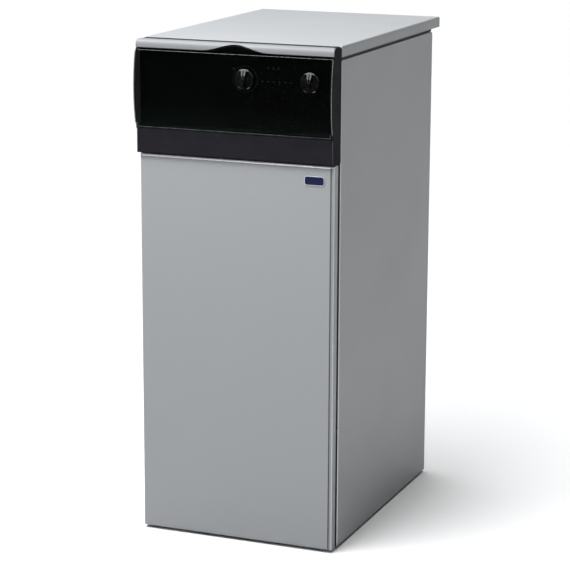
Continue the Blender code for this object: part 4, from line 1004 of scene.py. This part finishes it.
def wool_board(name, body, new_name, hollow=None, holes=()):
    """A pressed wool board: a closely divided box with an uneven, matted surface."""
    low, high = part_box(name)
    bm = cube_between(low, high)
    round_edges(bm, lambda middle, direction: True, 0.0025, 2)
    cell = 0.009
    for axis, normal in enumerate((X_AXIS, Y_AXIS, Z_AXIS)):
        for step in range(1, int((high[axis] - low[axis]) / cell)):
            place = Vector(low)
            place[axis] += step * cell
            bmesh.ops.bisect_plane(bm, geom=bm.verts[:] + bm.edges[:] + bm.faces[:], dist=1e-6,
                                   plane_co=place, plane_no=normal)
    board = raw(new_name, bm)
    tools = [rod(radius, -0.02, 0.02, (x, y, z), Y_AXIS, 32) for radius, x, z, y in holes]
    if hollow:
        tools.append(cube_between(*hollow))
    if tools:
        carve(board, *tools)
    normals = [vertex.normal.copy() for vertex in board.data.vertices]
    for vertex, normal in zip(board.data.vertices, normals):
        lumps = noise.noise(vertex.co * 55)
        fibres = noise.noise(vertex.co * 210)
        vertex.co -= normal * (0.0005 + 0.0004 * lumps + 0.0003 * fibres)
    finish(board, "mineral_wool", name, body=body)


def hoop(low, high, radius):
    """A box with rounded upright edges, for the jacket's straps."""
    return round_edges(cube_between(low, high), lambda middle, direction: abs(direction.z) > 0.9, radius, 4)


def wool():
    """The door's board, and the jacket with two galvanised straps round it."""
    wool_board("door_insulation", "door", "door_wool_board")
    low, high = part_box("insulation_jacket")
    wall = 0.014
    rib = 0.0143
    wool_board("insulation_jacket", "case", "wool_jacket",
               hollow=((low.x + wall, low.y + rib, low.z - 0.1),
                       (high.x - wall, high.y - rib, high.z + 0.1)),
               holes=((0.0145, PORT_X, FLOW_Z, high.y), (0.0145, -PORT_X, RETURN_Z, high.y),
                      (0.0115, -PORT_X, DRAIN_Z, low.y), (0.006, PORT_X, BULB_Z, low.y)))
    lift = 0.0002
    out = lift + 0.0005
    half = 0.006
    bands = [hoop((low.x - out, low.y - out, z - half), (high.x + out, high.y + out, z + half), 0.003)
             for z in (0.3, 0.5)]
    straps = raw("jacket_straps", merged(*bands))
    carve(straps, hoop((low.x - lift, low.y - lift, 0.2), (high.x + lift, high.y + lift, 0.6), 0.0026))
    finish(straps, "galvanised_steel")


# -------- flue and pipes

def spigot():
    """The flue spigot: a rolled tube with a stop bead, on a flange held by rivets."""
    low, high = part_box("flue_spigot")
    centre_z = centre_of("flue_spigot")[2]
    length = high.y - low.y
    bead = length - 0.014
    half_turn = [math.radians(angle) for angle in range(0, 181, 15)]
    outer = [(0.055 + 0.002 * math.sin(a), bead + 0.004 * math.cos(a)) for a in half_turn]
    inner = [(0.0534 + 0.0018 * math.sin(a), bead - 0.0034 * math.cos(a)) for a in half_turn]
    profile = [(0.0536, length), (0.0544, length), (0.055, length - 0.0005), *outer,
               (0.055, 0.0046), (0.0555, 0.003), (0.0568, 0.0021), (0.064, 0.002), (0.065, 0.0016),
               (0.065, 0), (0.0534, 0), *inner]
    tube = raw("flue_spigot_tube", lathe(profile, (0, low.y, centre_z), Y_AXIS, 96, closed=True))
    finish(tube, "aluminium", "flue_spigot")
    rivet = [(0, -0.0002), (0.0026, -0.0002), (0.0026, 0.0004), (0.0021, 0.0011), (0.0012, 0.0014),
             (0.001, 0.0009), (0, 0.0009)]
    rivets = [lathe(rivet, (x, low.y + 0.002, z), Y_AXIS, 20)
              for x, z in arc((0, centre_z), 0.0608, 30, 330, 5)]
    finish(raw("flue_rivets", merged(*rivets)), "aluminium", material=ZINC_SCREW)


def threaded(radius, start, end, pitch=0.0023, depth=0.0009):
    """The profile of a pipe thread from start to end, along the pipe."""
    points = []
    turns = int(abs(end - start) / pitch)
    step = (end - start) / turns
    for index in range(turns):
        points += [(radius - depth, start + step * index), (radius, start + step * (index + 0.5))]
    return points + [(radius - depth, end)]


def water_pipe(name):
    """A flow or return pipe with a threaded end and an open bore."""
    low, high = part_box(name)
    x, _, z = centre_of(name)
    radius = (high.x - low.x) / 2
    length = high.y - low.y
    bore = radius - 0.003
    profile = [(bore, length - 0.0006), (bore + 0.0005, length), (radius - 0.0012, length),
               *threaded(radius, length - 0.0008, length - 0.0215), (radius, length - 0.0225),
               (radius, 0), (0, 0), (0, length - 0.03), (bore, length - 0.03)]
    pipe = raw(name + "_tube", lathe(profile, (x, low.y, z), Y_AXIS, 48, closed=True))
    finish(pipe, "galvanised_steel", name)


def grommets():
    """Rubber rings where the pipes pass through the rear panel."""
    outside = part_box("rear_panel")[1].y
    rings = []
    for name in ("flow_pipe", "return_pipe", "gas_inlet_pipe"):
        low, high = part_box(name)
        radius = (high.z - low.z) / 2
        profile = [(radius + 0.0001, -0.0006), (radius + 0.0001, 0.0026), (radius + 0.001, 0.0032),
                   (radius + 0.0032, 0.003), (radius + 0.0052, 0.0014), (radius + 0.0056, 0.0002),
                   (radius + 0.0056, -0.0001), (radius + 0.0014, -0.0001), (radius + 0.0012, -0.0006)]
        rings.append(lathe(profile, (high.x - radius, outside, centre_of(name)[2]), Y_AXIS, 48, closed=True))
    finish(raw("pipe_grommets", merged(*rings)), "black_rubber")


# -------- valves and wiring

def drain_tap():
    """The brass drain cock: threaded stem, hexagon, plug body and ribbed hose tail."""
    low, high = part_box("drain_cock")
    x = centre_of("drain_cock")[0]
    y = low.y + 0.0125
    z = DRAIN_Z
    rear = high.y
    stem = lathe([(0, 0), (0.0085, 0), *threaded(0.0085, 0.0005, 0.0195, 0.0014, 0.0006), (0.0085, 0.021),
                  (0.0085, rear - y), (0, rear - y)], (x, rear, z), -Y_AXIS, 40)
    hexagon = lathe([(0, 0), (0.0112, 0), (0.0125, 0.001), (0.0125, 0.006), (0.0112, 0.007), (0, 0.007)],
                    (x, y + 0.0232, z), -Y_AXIS, 6)
    plug = lathe([(0, -0.012), (0.0108, -0.012), (0.0118, -0.011), (0.0118, -0.0085), (0.0124, -0.0075),
                  (0.0124, 0.008), (0.0118, 0.009), (0.0118, 0.0113), (0.0108, 0.012), (0, 0.012)],
                 (x, y, z), Z_AXIS, 48)
    ribs = []
    for index in range(4):
        top = -0.015 - 0.0042 * index
        ribs += [(0.0056, top), (0.0065, top - 0.0034)]
    tail = lathe([(0, -0.011), (0.0065, -0.011), (0.0065, -0.014), *ribs, (0.005, -0.0335),
                  (0.0042, -0.034), (0.0042, -0.024), (0, -0.024)], (x, y, z), Z_AXIS, 40)
    tap = raw("drain_tap", merged(stem, hexagon, plug, tail))
    finish(tap, "brass", "drain_cock", edge=0.0002)


def gas_details():
    """A cap on the valve's coil, a plug in the manifold's end and boots on the ignition lead."""
    valve_x = centre_of("gas_valve")[0]
    valve_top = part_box("gas_valve")[1].z
    cap = lathe([(0.0162, -0.015), (0.0168, -0.0145), (0.0168, -0.0012), (0.0155, 0.0002), (0.006, 0.0004),
                 (0.005, -0.0006), (0, -0.0006), (0, -0.015)], (valve_x, COIL_Y, valve_top), Z_AXIS, 48)
    finish(raw("valve_coil_cap", cap), "black_plastic", material=CAP_PLASTIC)

    _, tube_y, tube_z = centre_of("gas_manifold")
    tube_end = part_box("gas_manifold")[0].x
    plug = lathe([(0, -0.0005), (0.0088, -0.0005), (0.0088, 0.0012), (0.007, 0.0014), (0.0078, 0.0022),
                  (0.0078, 0.0062), (0.0068, 0.007), (0, 0.007)], (tube_end, tube_y, tube_z), -X_AXIS, 6)
    finish(raw("manifold_plug", plug), "brass", edge=0.0002)

    electrode_x, _, electrode_z = centre_of("ignition_electrode")
    electrode_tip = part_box("ignition_electrode")[0].y
    boot = [(0, 0), (0.0034, 0), (0.004, 0.0008), (0.004, 0.008), (0.0032, 0.01), (0.0029, 0.012),
            (0, 0.012)]
    boots = [lathe(boot, (electrode_x, electrode_tip + 0.004, electrode_z), -Y_AXIS, 28),
             lathe(boot, LEAD_TOP, -Z_AXIS, 28)]
    finish(raw("lead_boots", merged(*boots)), "black_rubber")


def door_magnets():
    """Steel pole faces in the plastic door catches."""
    faces = []
    for name in ("upper_door_catch", "lower_door_catch"):
        low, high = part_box(name)
        for x in (low.x + 0.003, high.x - 0.0048):
            front = low.y - 0.0001
            plate = cube_between((x, front, low.z + 0.006), (x + 0.0018, low.y + 0.004, high.z - 0.006))
            faces.append(round_edges(plate, lambda middle, direction: at(middle.y, front), 0.0002, 2))
    finish(raw("catch_pole_faces", merged(*faces)), "galvanised_steel")


# -------- scene

make_camera()
make_lights()
make_surroundings()
for node_name, node_object in frame["nodes"].items():
    dress(node_name, node_object)
side_panel("left_side_panel", -1)
side_panel("right_side_panel", 1)
lid()
front_door()
bezel()
trim()
flap()
knob("selector_knob", "selector")
knob("thermostat_knob", "thermostat")
fascia()
badge()
case_screws()
wool()
spigot()
water_pipe("flow_pipe")
water_pipe("return_pipe")
grommets()
drain_tap()
gas_details()
door_magnets()
